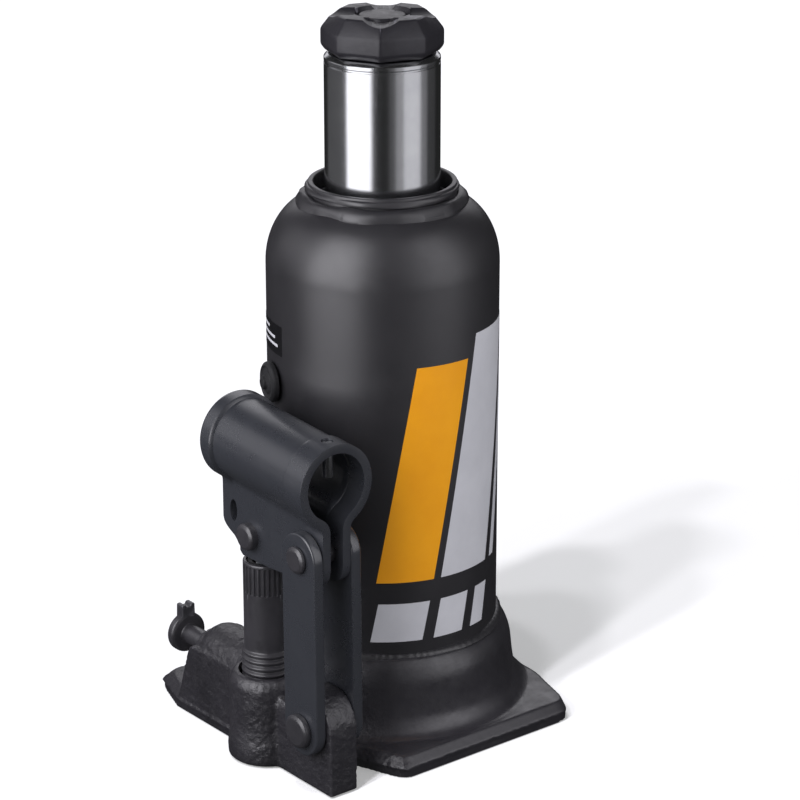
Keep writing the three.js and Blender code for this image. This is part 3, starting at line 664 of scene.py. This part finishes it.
def tank_patch(name, corners, lift, material, columns=40, rows=24):
    """A thin film on the tank between four corners of (azimuth in degrees, z).

    Azimuth 0 is -Y and 90 is +X. The corners are bottom left, bottom right, top right
    and top left.
    """
    verts, faces = [], []
    layers = (lift, lift - FILM)
    for depth in layers:
        for row in range(rows + 1):
            v = row / rows
            for column in range(columns + 1):
                u = column / columns
                low = Vector(corners[0]).lerp(Vector(corners[1]), u)
                high = Vector(corners[3]).lerp(Vector(corners[2]), u)
                azimuth, z = low.lerp(high, v)
                angle = math.radians(azimuth)
                r = TANK_R + depth
                verts.append((r * math.sin(angle), -r * math.cos(angle), z))
    width = columns + 1
    sheet = width * (rows + 1)
    for row in range(rows):
        for column in range(columns):
            a = row * width + column
            faces.append([a, a + 1, a + 1 + width, a + width])
            faces.append([a + sheet, a + width + sheet, a + 1 + width + sheet, a + 1 + sheet])
    border = [*range(width), *(width * (r + 1) - 1 for r in range(1, rows + 1)),
              *(sheet - 1 - c for c in range(1, width)), *(width * (rows - r) for r in range(1, rows))]
    for i, a in enumerate(border):
        b = border[(i + 1) % len(border)]
        faces.append([a, b, b + sheet, a + sheet])
    return finished(make(name, verts, faces), "base", material, (), 60)


def slanted(left, width, low, high, lean):
    """Corners of an upright band that leans to the right as it rises."""
    return [(left, low), (left + width, low), (left + width + lean, high), (left + lean, high)]


def decals():
    """Plain slanted bands, a row of blocks under them, and a small dark label."""
    tank_patch("decal_band_orange", slanted(48, 29, 78, 176, 20), DECAL_LIFT, ORANGE)
    tank_patch("decal_band_pale", slanted(81, 32, 78, 186, 22), DECAL_LIFT, PALE)
    tank_patch("decal_band_thin", slanted(118, 5, 78, 186, 22), DECAL_LIFT, PALE, 12)
    for index, (left, width) in enumerate([(45, 26), (77, 17), (100, 10)]):
        tank_patch(f"decal_block_{index}", slanted(left, width, 50, 68, 4), DECAL_LIFT, PALE, 24, 8)
    tank_patch("label_plate", [(-37, 173.5), (-7, 173.5), (-7, 187), (-37, 187)], DECAL_LIFT, BLACK)
    for index, (z, right) in enumerate([(184.2, -22), (180.9, -14), (177.6, -11)]):
        bar = [(-34, z - 0.6), (right, z - 0.6), (right, z + 0.6), (-34, z + 0.6)]
        tank_patch(f"label_bar_{index}", bar, LABEL_BAR_LIFT, PALE, 16, 2)


def filler_plug():
    """A ribbed rubber bung with a raised nub."""
    outline = [
        (0, 44), (5.1, 44, 0.6), (4.6, 46.5, 0.4), (4.6, TANK_R + 0.5), (9, TANK_R + 0.8, 0.3),
        (9, TANK_R + 2.9, 0.7), (7.4, TANK_R + 4.1, 0.5), (6.6, TANK_R + 3.3, 0.4),
        (5.4, TANK_R + 3.3, 0.4), (4.4, TANK_R + 4.2, 0.6), (3.1, TANK_R + 4.4, 0.5),
        (2.6, TANK_R + 6, 0.6), (0, TANK_R + 6),
    ]
    turn = math.atan2(FILLER_AT.y, FILLER_AT.x)
    tilt = Matrix.Rotation(turn, 4, "Z") @ Matrix.Rotation(math.pi / 2, 4, "Y")
    obj = moved(lathe("filler_bung", outline, SMALL), Matrix.Translation((0, 0, FILLER_AT.z)) @ tilt)
    return finished(obj, "filler_plug", FINISHES["rubber"], ["filler_plug"])


# ---------------------------------------------------------------- gland, ram and saddle

def gland():
    outline = [
        (25.4, 205), (29.7, 205), (29.7, 238, 0.6), (28.2, 238, 0.4), (28.2, 233), (25.4, 233),
        (25.4, 224), (28.2, 224), (28.2, 219), (25.4, 219),
    ]
    return finished(lathe("gland_ring", outline, FINE), "base",
                    FINISHES["black_oxide"], ["gland_nut"])


def wiper():
    outline = [(25.3, 233.3), (27.8, 233.3), (27.8, 237.2, 0.5), (26.4, 236.2, 0.4), (25.3, 237.6, 0.2)]
    return finished(lathe("wiper_lip", outline, FINE), "base", FINISHES["rubber"], ["ram_wiper"])


def ram():
    top = RAM_TOP
    outline = [
        (0, 71), (14, 71, 0.5), (14, 91.3), (28.7, 91.3), (29.7, 92.3), (29.7, 94.4), (27, 94.4),
        (27, 99.6), (29.7, 99.6), (29.7, 102), (28.7, 103), (RAM_R, 103), (RAM_R, 297.4, 0.1),
        (RAM_R - 0.25, 297.7, 0.1), (RAM_R - 0.25, 298.3, 0.1), (RAM_R, 298.6, 0.1),
        (RAM_R, top - 1.8, 0.3), (RAM_R - 1.8, top, 0.3), (17.2, top, 0.5),
        (17.2, 206.8), (0, 202),
    ]
    return finished(lathe("ram_rod", outline, FINE), "ram", FINISHES["chrome"], ["ram"])


def threaded_shank(name, core, crest, pitch, low, high, steps=SMALL):
    """A closed shank with a helical thread running out at both ends."""
    per_turn = 10
    rows = int((high - low) / pitch * per_turn)
    verts, faces = [], []
    for row in range(rows + 1):
        z = low + (high - low) * row / rows
        ends = min(1.0, (z - low) / pitch, (high - z) / pitch)
        for k in range(steps):
            turn = k / steps
            phase = (z / pitch - turn) % 1.0
            height = max(0.0, min(1.0, 1.55 - 3.1 * abs(phase - 0.5)))
            r = core + (crest - core) * height * max(0.0, ends)
            verts.append((r * math.cos(TAU * turn), r * math.sin(TAU * turn), z))
    for row in range(rows):
        for k in range(steps):
            a, b = row * steps + k, row * steps + (k + 1) % steps
            faces.append([a, b, b + steps, a + steps])
    faces.append(list(range(steps)))
    faces.append(list(range(rows * steps, (rows + 1) * steps)))
    return make(name, verts, faces)


def saddle_head():
    """An octagon with a sunk flat centre inside a ring groove, and four shallow scoops."""
    foot, band_top, radius, inset = 302.2, HEAD_TOP - 7.0, 26.5, 5.4
    obj = lathe("saddle", [
        (0, foot), (radius - 2.2, foot), (radius, foot + 2.7), (radius, band_top),
        (radius - inset, HEAD_TOP), (0, HEAD_TOP),
    ], 8)
    beveled(obj, 0.9, 4, 12)
    cuts = [lathe("recess", [
        (0, HEAD_TOP - 0.9), (3, HEAD_TOP - 0.95), (9.8, HEAD_TOP - 1.1, 0.4), (10.2, HEAD_TOP - 2.7, 0.3),
        (12.0, HEAD_TOP - 2.7, 0.5), (13.2, HEAD_TOP + 1), (0, HEAD_TOP + 1),
    ], MEDIUM)]
    for quarter in range(4):
        scoop = bar_x("scoop", 13.7, 11.8, radius + 4, 0, HEAD_TOP + 11.4, FINE)
        cuts.append(moved(scoop, Matrix.Rotation(quarter * TAU / 4, 4, "Z")))
    combined(obj, cuts, "DIFFERENCE")
    return beveled(obj, 0.35, 2, 24)


def extension_screw():
    head = saddle_head()
    shank = threaded_shank("shank", 15.6, 16.8, 5.0, 222, 303)
    tail = lathe("tail", [(0, 214), (15.3, 214, 0.5), (15.8, 216), (13.6, 216), (13.6, 219.5),
                          (16.2, 219.5), (15.6, 223), (0, 223)], SMALL)
    obj = joined("saddle_screw", [head, shank, tail])
    moved(obj, Matrix.Rotation(SADDLE_TURN, 4, "Z"))
    return finished(obj, "extension_screw", HEAD_PAINT, ["extension_screw"], 32)


# ---------------------------------------------------------------- hand pump

def pump_cylinder():
    """A screwed foot, a plain barrel and a splined band under the top."""
    top = span("pump_cylinder")[1].z
    thread = []
    for k in range(8):
        z = 27.5 + 3 * k
        thread += [(10.3, z, 0.3), (11.45, z + 0.9, 0.3), (11.45, z + 1.7, 0.3), (10.3, z + 2.5, 0.3)]
    outline = [
        (6.3, 17.8), (11.1, 17.8), (11.1, 27), *thread, (10.2, 51.5), (10.2, 53.5), (10.2, 74),
        (10.2, 76.6), (10.2, top, 1.0), (8.6, top, 0.4), (8.6, 86.5), (6.3, 86.5),
    ]
    barrel = lathe("barrel", outline, 144)
    flutes = []
    count, low, high = 28, 78.0, top - 1.6
    for k in range(count):
        flute = lathe("flute", [(0, low - 0.5), (0.85, low), (0.85, high), (0, high + 0.5)], 12)
        moved(flute, Matrix.Rotation(TAU * k / count, 4, "Z") @ Matrix.Translation((10.3, 0, 0)))
        flutes.append(flute)
    combined(barrel, [joined("flutes", flutes)], "DIFFERENCE")
    moved(barrel, Matrix.Translation((PUMP_X, PUMP_Y, 0)))
    barrel.name = "pump_barrel"
    return finished(barrel, "base", FINISHES["black_oxide"], ["pump_cylinder"], 30)


def pump_piston():
    """The rod and its flat tang, with the oversize hole that the pin floats in."""
    x, z = PISTON_PIN_AT.x, PISTON_PIN_AT.z
    rod = lathe("rod", [
        (0, 30), (6, 30, 0.6), (6, 34), (4.4, 34), (4.4, 38), (6, 38), (6, 89.0, 1.0), (4.4, 90.5, 0.6),
        (0, 90.5),
    ], SMALL)
    moved(rod, Matrix.Translation((PUMP_X, PUMP_Y, 0)))
    radius, neck, half, steps = 9.6, 5.0, 2.95, 40
    start = math.asin(neck / radius)
    arc = []
    for k in range(steps + 1):
        angle = -math.pi / 2 + start + (TAU - 2 * start) * k / steps
        arc.append((x + radius * math.cos(angle), z + radius * math.sin(angle)))
    outline = [*arc, (x - neck, 88.5), (x + neck, 88.5)]
    tang = beveled(prism("tang", outline, PUMP_Y - half, PUMP_Y + half, "Y"), 0.5)
    combined(rod, [tang], "UNION")
    combined(rod, [bar_y("tang_hole", 6.4, PUMP_Y - 8, PUMP_Y + 8, x, z)], "DIFFERENCE")
    rod.name = "piston_rod"
    return finished(rod, "pump_piston", FINISHES["steel"], ["pump_piston"], 30)


# ---------------------------------------------------------------- links, pins and clips

CLIP_WIDTH = 2.8


def link_plate(name, node, low, high):
    """A flat bar with round ends, from the lower pin to the upper one."""
    half, steps = 11.5, 32
    start, end = Vector((LOWER_PIN_AT.x, LOWER_PIN_AT.z)), Vector((UPPER_PIN_AT.x, UPPER_PIN_AT.z))
    up = (end - start).normalized()
    heading = math.atan2(up.y, up.x)
    outline = []
    for centre, turn in ((end, heading - math.pi / 2), (start, heading + math.pi / 2)):
        for k in range(steps + 1):
            angle = turn + math.pi * k / steps
            outline.append((centre.x + half * math.cos(angle), centre.y + half * math.sin(angle)))
    plate = beveled(prism("plate", outline, low, high, "Y"), 0.9, 4, 40)
    holes = [bar_y("hole", radius, low - 3, high + 3, at.x, at.z)
             for at, radius in ((LOWER_PIN_AT, 6.3), (UPPER_PIN_AT, 5.5))]
    combined(plate, holes, "DIFFERENCE")
    plate.name = name
    return finished(plate, "link", FINISHES["lever_paint"], [node], 30)


def pin(name, node, body, at, shank, head, head_height):
    """A headed pin along Y; its tail has a groove for the clip."""
    low, high = span(node)
    length = high.y - low.y
    groove = length - 3.1
    outline = [
        (0, 0), (head - 1.6, 0, 0.5), (head, 0.9, 0.6), (head, head_height - 0.3, 0.2),
        (shank, head_height - 0.3), (shank, groove), (shank - 1.4, groove), (shank - 1.4, groove + 1.6),
        (shank, groove + 1.6), (shank - 0.5, length, 0.5), (0, length),
    ]
    obj = lathe(name, outline, SMALL)
    moved(obj, Matrix.Translation((at.x, low.y, at.z)) @ Matrix.Rotation(-math.pi / 2, 4, "X"))
    return finished(obj, body, FINISHES["black_oxide"], [node])


def clip(name, node, body, turn):
    """A sprung clip: a flat ring with a gap."""
    low, high = span(node)
    centre = (low + high) / 2
    outer = (high.x - low.x) / 2
    inner = outer - CLIP_WIDTH
    gap = math.radians(34)
    angles = [gap + (TAU - 2 * gap) * k / SMALL for k in range(SMALL + 1)]
    outline = [(outer * math.cos(a), outer * math.sin(a)) for a in angles]
    outline += [(inner * math.cos(a), inner * math.sin(a)) for a in reversed(angles)]
    obj = beveled(prism(name, outline, low.y, high.y, "Y"), 0.2, 2, 40)
    moved(obj, Matrix.Translation((centre.x, 0, centre.z)) @ Matrix.Rotation(turn, 4, "Y"))
    return finished(obj, body, FINISHES["steel"], [node])


# ---------------------------------------------------------------- handle socket

def socket_axis_z(x):
    return MOUTH_Z + (END_Z - MOUTH_Z) * (x - MOUTH_X) / (END_X - MOUTH_X)


def step_up(value, start, width):
    t = min(1.0, max(0.0, (value - start) / width))
    return t * t * (3 - 2 * t)


def socket_radius(x):
    """Outer radius: a raised band at the mouth and a low one at the far end."""
    mouth_band = 1.5 * (1 - step_up(x, MOUTH_X + 7.2, 1.4)) * (0.55 + 0.45 * step_up(x, MOUTH_X, 1.2))
    end_band = 0.9 * step_up(x, END_X - 12.5, 0.9)
    return TUBE_R + mouth_band + end_band


def cheek_foot(x):
    """Height of the cheeks' lower edge."""
    floor, left_z, right_z = 93.9, 107.0, 103.0
    if x < -1.0:
        t = (x - MOUTH_X) / (-1.0 - MOUTH_X)
        return left_z - 6.5 * t ** 0.5
    if x < 6.5:
        return 100.5 + (floor - 100.5) * (x + 1.0) / 7.5
    corner = END_X - 8.5
    if x > corner:
        t = (x - corner) / 8.5
        return floor + 0.7 + (right_z - floor) * (1 - math.sqrt(max(0.0, 1 - t * t)))
    return floor + 0.7 * (x - 6.5) / (corner - 6.5)


def cheek_face(x):
    """Half width over the cheeks: they bulge round the piston's tang."""
    ease_in = step_up(x, 3.4, 1.2)
    ease_out = min(1.0, max(0.0, (x - 26) / 11))
    return CHEEK_FACE + 1.1 * ease_in * (1 - ease_out)


def socket_section(x):
    """Half of the outer outline at x: up the cheek, round the fillet, over the tube."""
    radius, fillet = socket_radius(x), 5.0
    centre_z = socket_axis_z(x)
    face = cheek_face(x)
    side = face + fillet
    drop = math.sqrt((radius + fillet) ** 2 - side ** 2)
    foot = cheek_foot(x)
    bend_z = centre_z - drop
    points = [(face, foot + (bend_z - foot) * k / 14) for k in range(14)]
    sweep = math.acos(side / (radius + fillet))
    for k in range(9):
        angle = math.pi - sweep * k / 8
        points.append((side + fillet * math.cos(angle), bend_z + fillet * math.sin(angle)))
    start = -sweep
    for k in range(1, 33):
        angle = start + (math.pi / 2 - start) * k / 32
        points.append((radius * math.cos(angle), centre_z + radius * math.sin(angle)))
    return points


def handle_socket():
    """One sheet bent round the handle: a tube over two flat cheeks."""
    steps = 110
    stations = [MOUTH_X + (END_X - MOUTH_X) * k / steps for k in range(steps + 1)]
    verts, faces = [], []
    for x in stations:
        half = socket_section(x)
        ring = [(x, PUMP_Y - y, z) for y, z in half]
        ring += [(x, PUMP_Y + y, z) for y, z in reversed(half[:-1])]
        width = len(ring)
        verts += ring
    for row in range(len(stations) - 1):
        for k in range(width - 1):
            a = row * width + k
            faces.append([a, a + 1, a + 1 + width, a + width])
    obj = make("socket_sheet", verts, faces)
    up = max(obj.data.polygons, key=lambda p: p.center.z)
    if up.normal.z < 0:
        obj.data.flip_normals()
    thick = obj.modifiers.new("thickness", "SOLIDIFY")
    thick.thickness = SHEET * MM
    thick.offset = -1
    thick.use_even_offset = True
    baked(obj)
    beveled(obj, 1.3, 4, 50)
    cuts = [bar_y("hole", radius, PUMP_Y - 20, PUMP_Y + 20, at.x, at.z)
            for at, radius in ((UPPER_PIN_AT, 5.5), (PISTON_PIN_AT, 4.3))]
    oval = bar_y("oval", 5.0, PUMP_Y - 20, PUMP_Y, 0, 0)
    moved(oval, Matrix.Translation((-1.2, 0, 112)) @ Matrix.Diagonal((0.5, 1, 1, 1)))
    stop = middle("socket_stop_pin")
    cuts += [oval, moved(lathe("stop_hole", [(0, 150), (2.6, 150), (2.6, 170), (0, 170)], SMALL),
                         Matrix.Translation((stop.x, stop.y, 0)))]
    combined(obj, cuts, "DIFFERENCE")
    return finished(obj, "lever", FINISHES["lever_paint"], ["handle_socket"], 32)


def stop_pin():
    low, high = span("socket_stop_pin")
    at = (low + high) / 2
    outline = [(0, low.z), (2.4, low.z, 0.5), (2.4, high.z, 0.4), (0, high.z)]
    obj = moved(lathe("stop_dowel", outline, SMALL), Matrix.Translation((at.x, at.y, 0)))
    return finished(obj, "lever", FINISHES["steel"], ["socket_stop_pin"])


# ---------------------------------------------------------------- release valve

def release_valve():
    """A stem with a disc knob and a notched ear that the handle's end turns."""
    back = VALVE_LOW.x
    outline = [
        (0, back), (8.2, back, 0.4), (9.3, back + 1.0, 0.5), (9.3, back + 4.0, 0.6), (8.0, back + 5, 0.5),
        (4.5, back + 5, 0.6), (4.5, back + 29), (3.0, back + 29), (3.0, back + 33), (4.5, back + 33),
        (4.5, back + 41), (2.0, back + 42.6), (0, back + 42.6),
    ]
    stem = lathe("stem", outline, SMALL)
    ear = beveled(prism("ear", [
        (-3.6, 7.6), (3.6, 7.6), (3.4, 14.2, 0.8), (1.5, 14.2, 0.5), (0.9, 12.9, 0.4), (-0.9, 12.9, 0.4),
        (-1.5, 14.2, 0.5), (-3.4, 14.2, 0.8),
    ], back + 0.1, back + 5.0), 0.5, 3, 40)
    moved(ear, Matrix.Rotation(math.pi / 2, 4, "Z"))
    combined(stem, [ear], "UNION")
    moved(stem, Matrix.Translation((0, VALVE_AT.y, VALVE_AT.z)) @ Matrix.Rotation(math.pi / 2, 4, "Y"))
    stem.name = "valve_screw"
    return finished(stem, "release_valve", FINISHES["black_oxide"],
                    ["release_valve_screw"], 30)


# ---------------------------------------------------------------- the carried-over pieces

def colour_frame_nodes():
    """Every CAD node that still shows gets the finish of its material slot."""
    for row in frame["record"]["subparts"]:
        node = frame["nodes"][row["node"]]
        node.data.materials.clear()
        node.data.materials.append(FINISHES[row["material_slot"]])


# ---------------------------------------------------------------- studio

LENS = 134.4
SENSOR = 36
CAMERA_AT = (0.9728, -0.7738, 0.5935)
CAMERA_AIM = (0.0047, 0.0059, 0.1442)

LIGHT_TINT = (0.96, 0.95, 1.0)
SHADOW_TURNS = (math.radians(11), math.radians(20))     # headings of the floor's suns, in turn
ROOM_GLOSS = 0.016      # what polished metal sees where no light stands
ROOM_GLOW = 0.26        # even light from all round
FLOOR_GLOW = 0.30       # the floor's own light, so it comes out near white
FLOOR_SUN = 0.72
FLOOR_DROP = 0.0003     # metres under the foot
FLOOR_HALF = 30.0
SUN_ANGLE = math.radians(3)

# name, azimuth, width, lowest and highest z, distance, radiance
SOFTBOXES = [
    ("left_box", 4.5, 0.585, 0.04, 1.1, 0.6, 1.7),
    ("right_box", 111.5, 0.42, 0.04, 1.1, 0.6, 0.66),
    ("right_edge_near", 84, 0.147, 0.04, 1.1, 0.6, 0.30),
    ("right_edge_far", 70.5, 0.136, 0.04, 1.1, 0.6, 0.07),
    ("right_edge_back", 140, 0.167, 0.04, 1.1, 0.6, 0.17),
    ("far_left_box", -56, 0.7, 0.01, 0.2, 0.7, 0.07),
    ("far_left_upper", -52, 0.5, 0.24, 0.7, 0.7, 0.34),
    ("far_right_box", 164, 0.3, 0.01, 0.4, 0.7, 0.03),
    ("back_box", 231.5, 1.3, 0.38, 1.3, 1.2, 0.9),
]

# azimuth, elevation, size, distance, radiance
FILL_LIGHTS = [(-42, 22, 0.9, 1.4, 4.5), (18, 42, 0.7, 1.4, 2.6), (104, 30, 0.7, 1.4, 3.8)]
SUN_ELEVATIONS = (38, 45, 52, 60, 68, 76)


def lamp(name, kind, where, turn, receivers):
    """A light that the camera doesn't see, shining on one collection of receivers."""
    light = bpy.data.lights.new(name, kind)
    light.color = LIGHT_TINT
    obj = bpy.data.objects.new(name, light)
    bpy.context.collection.objects.link(obj)
    obj.location = where
    obj.rotation_euler = turn
    obj.visible_camera = False
    obj.light_linking.receiver_collection = receivers
    return light, obj


def softbox(name, azimuth, width, low, high, distance, radiance, receivers):
    """An upright soft light facing the jack; azimuth 0 is on the -Y side and 90 on the +X side."""
    turn = math.radians(azimuth)
    where = (distance * math.sin(turn), -distance * math.cos(turn), (low + high) / 2)
    light, _ = lamp(name, "AREA", where, (math.pi / 2, 0, turn), receivers)
    light.shape = "RECTANGLE"
    light.size, light.size_y = width, high - low
    light.energy = math.pi * width * (high - low) * radiance


def fill_light(azimuth, elevation, size, distance, radiance, receivers):
    """A square light that only brightens, and is not mirrored in chrome or gloss."""
    turn, rise = math.radians(azimuth), math.radians(elevation)
    towards = Vector((math.sin(turn) * math.cos(rise), -math.cos(turn) * math.cos(rise), math.sin(rise)))
    light, obj = lamp("fill_light", "AREA", towards * distance, towards.to_track_quat("Z", "Y").to_euler(),
                      receivers)
    light.shape = "SQUARE"
    light.size = size
    light.energy = math.pi * size * size * radiance
    obj.visible_glossy = False


def floor_lights(receivers):
    """Light from high to low on one side, so the jack's shadow fades as it runs out."""
    for index, elevation in enumerate(SUN_ELEVATIONS):
        rise = math.radians(elevation)
        turn = SHADOW_TURNS[index % 2]
        light, _ = lamp(f"floor_light_{elevation}", "SUN", (0, 0, 1),
                        (math.pi / 2 - rise, 0, turn), receivers)
        light.angle = SUN_ANGLE
        light.energy = FLOOR_SUN * math.pi / math.sin(rise) / len(SUN_ELEVATIONS)


def white_floor():
    """A pale floor that takes soft shadows, and neither lights the jack nor shows in its gloss."""
    mesh = bpy.data.meshes.new("floor")
    half = FLOOR_HALF
    mesh.from_pydata([(-half, -half, 0), (half, -half, 0), (half, half, 0), (-half, half, 0)], [],
                     [(0, 1, 2, 3)])
    floor = bpy.data.objects.new("floor", mesh)
    bpy.context.collection.objects.link(floor)
    floor.location.z = -FLOOR_DROP
    material, tree, shader = blank("floor_white")
    tone = ramp(tree, noise_node(tree, 3, 3, 0.5), grey(0.86), grey(0.88))
    tree.links.new(tone, shader.inputs["Base Color"])
    shader.inputs["Roughness"].default_value = 0.9
    shader.inputs["Specular IOR Level"].default_value = 0.1
    shader.inputs["Emission Color"].default_value = (1, 1, 1, 1)
    shader.inputs["Emission Strength"].default_value = FLOOR_GLOW
    mesh.materials.append(material)
    floor.visible_glossy = False
    floor.visible_diffuse = False
    return floor


def backdrop():
    """A room that is white to the camera, dim in reflections and soft on rough surfaces."""
    world = bpy.data.worlds.new("studio")
    bpy.context.scene.world = world
    world.use_nodes = True
    tree = world.node_tree
    path = tree.nodes.new("ShaderNodeLightPath")
    glow = tree.nodes["Background"]
    glow.inputs["Color"].default_value = (0.94, 0.96, 1, 1)
    glow.inputs["Strength"].default_value = ROOM_GLOW
    layer = glow.outputs["Background"]
    for name, strength in (("Is Glossy Ray", ROOM_GLOSS), ("Is Camera Ray", 1.0)):
        over = tree.nodes.new("ShaderNodeBackground")
        over.inputs["Strength"].default_value = strength
        over.inputs["Color"].default_value = (1, 1, 1, 1)
        mix = tree.nodes.new("ShaderNodeMixShader")
        tree.links.new(path.outputs[name], mix.inputs["Fac"])
        tree.links.new(layer, mix.inputs[1])
        tree.links.new(over.outputs["Background"], mix.inputs[2])
        layer = mix.outputs["Shader"]
    tree.links.new(layer, tree.nodes["World Output"].inputs["Surface"])


def studio():
    """Soft boxes and fill for the jack; the floor has light of its own for the shadow."""
    bpy.context.scene.view_settings.view_transform = "Standard"
    backdrop()
    floor = white_floor()
    only_floor = bpy.data.collections.new("only_floor")
    only_floor.objects.link(floor)
    all_but_floor = bpy.data.collections.new("all_but_floor")
    all_but_floor.objects.link(floor)
    all_but_floor.collection_objects[0].light_linking.link_state = "EXCLUDE"
    for row in SOFTBOXES:
        softbox(*row, all_but_floor)
    for row in FILL_LIGHTS:
        fill_light(*row, all_but_floor)
    floor_lights(only_floor)


def camera():
    data = bpy.data.cameras.new("camera")
    data.lens = LENS
    data.sensor_width = SENSOR
    obj = bpy.data.objects.new("camera", data)
    bpy.context.collection.objects.link(obj)
    obj.location = CAMERA_AT
    obj.rotation_euler = (Vector(CAMERA_AIM) - obj.location).to_track_quat("-Z", "Y").to_euler()
    bpy.context.scene.camera = obj


# ---------------------------------------------------------------- the jack

colour_frame_nodes()
base_casting()
reservoir_tank()
weld_bead("weld_foot", TANK_R + 0.1, COLLAR_TOP + 0.4, 2.2, 2.4, 0.03, 1.2)
weld_bead("weld_neck", 34.2, 236.8, 3.0, 4.1, 0, 1.0)
weld_bead("neck_lip", NECK_R - 0.2, NECK_TOP - 2.6, 1.2, 1.5, 0, 0.2)
decals()
filler_plug()
gland()
wiper()
ram()
extension_screw()
pump_cylinder()
pump_piston()
link_plate("link_bar_front", "link_front", LINK_FRONT_LOW.y, LINK_FRONT_HIGH.y)
link_plate("link_bar_rear", "link_rear", LINK_REAR_LOW.y, LINK_REAR_HIGH.y)
pin("pin_lower", "lower_link_pin", "link", LOWER_PIN_AT, 6.0, 7.5, 3.5)
pin("pin_upper", "upper_link_pin", "link", UPPER_PIN_AT, 5.2, 6.0, 2.4)
pin("pin_piston", "piston_pin", "lever", PISTON_PIN_AT, 4.0, 6.0, 5.0)
clip("clip_lower", "lower_link_pin_clip", "link", math.radians(80))
clip("clip_upper", "upper_link_pin_clip", "link", math.radians(-70))
clip("clip_piston", "piston_pin_clip", "lever", math.radians(-100))
handle_socket()
stop_pin()
release_valve()
studio()
camera()
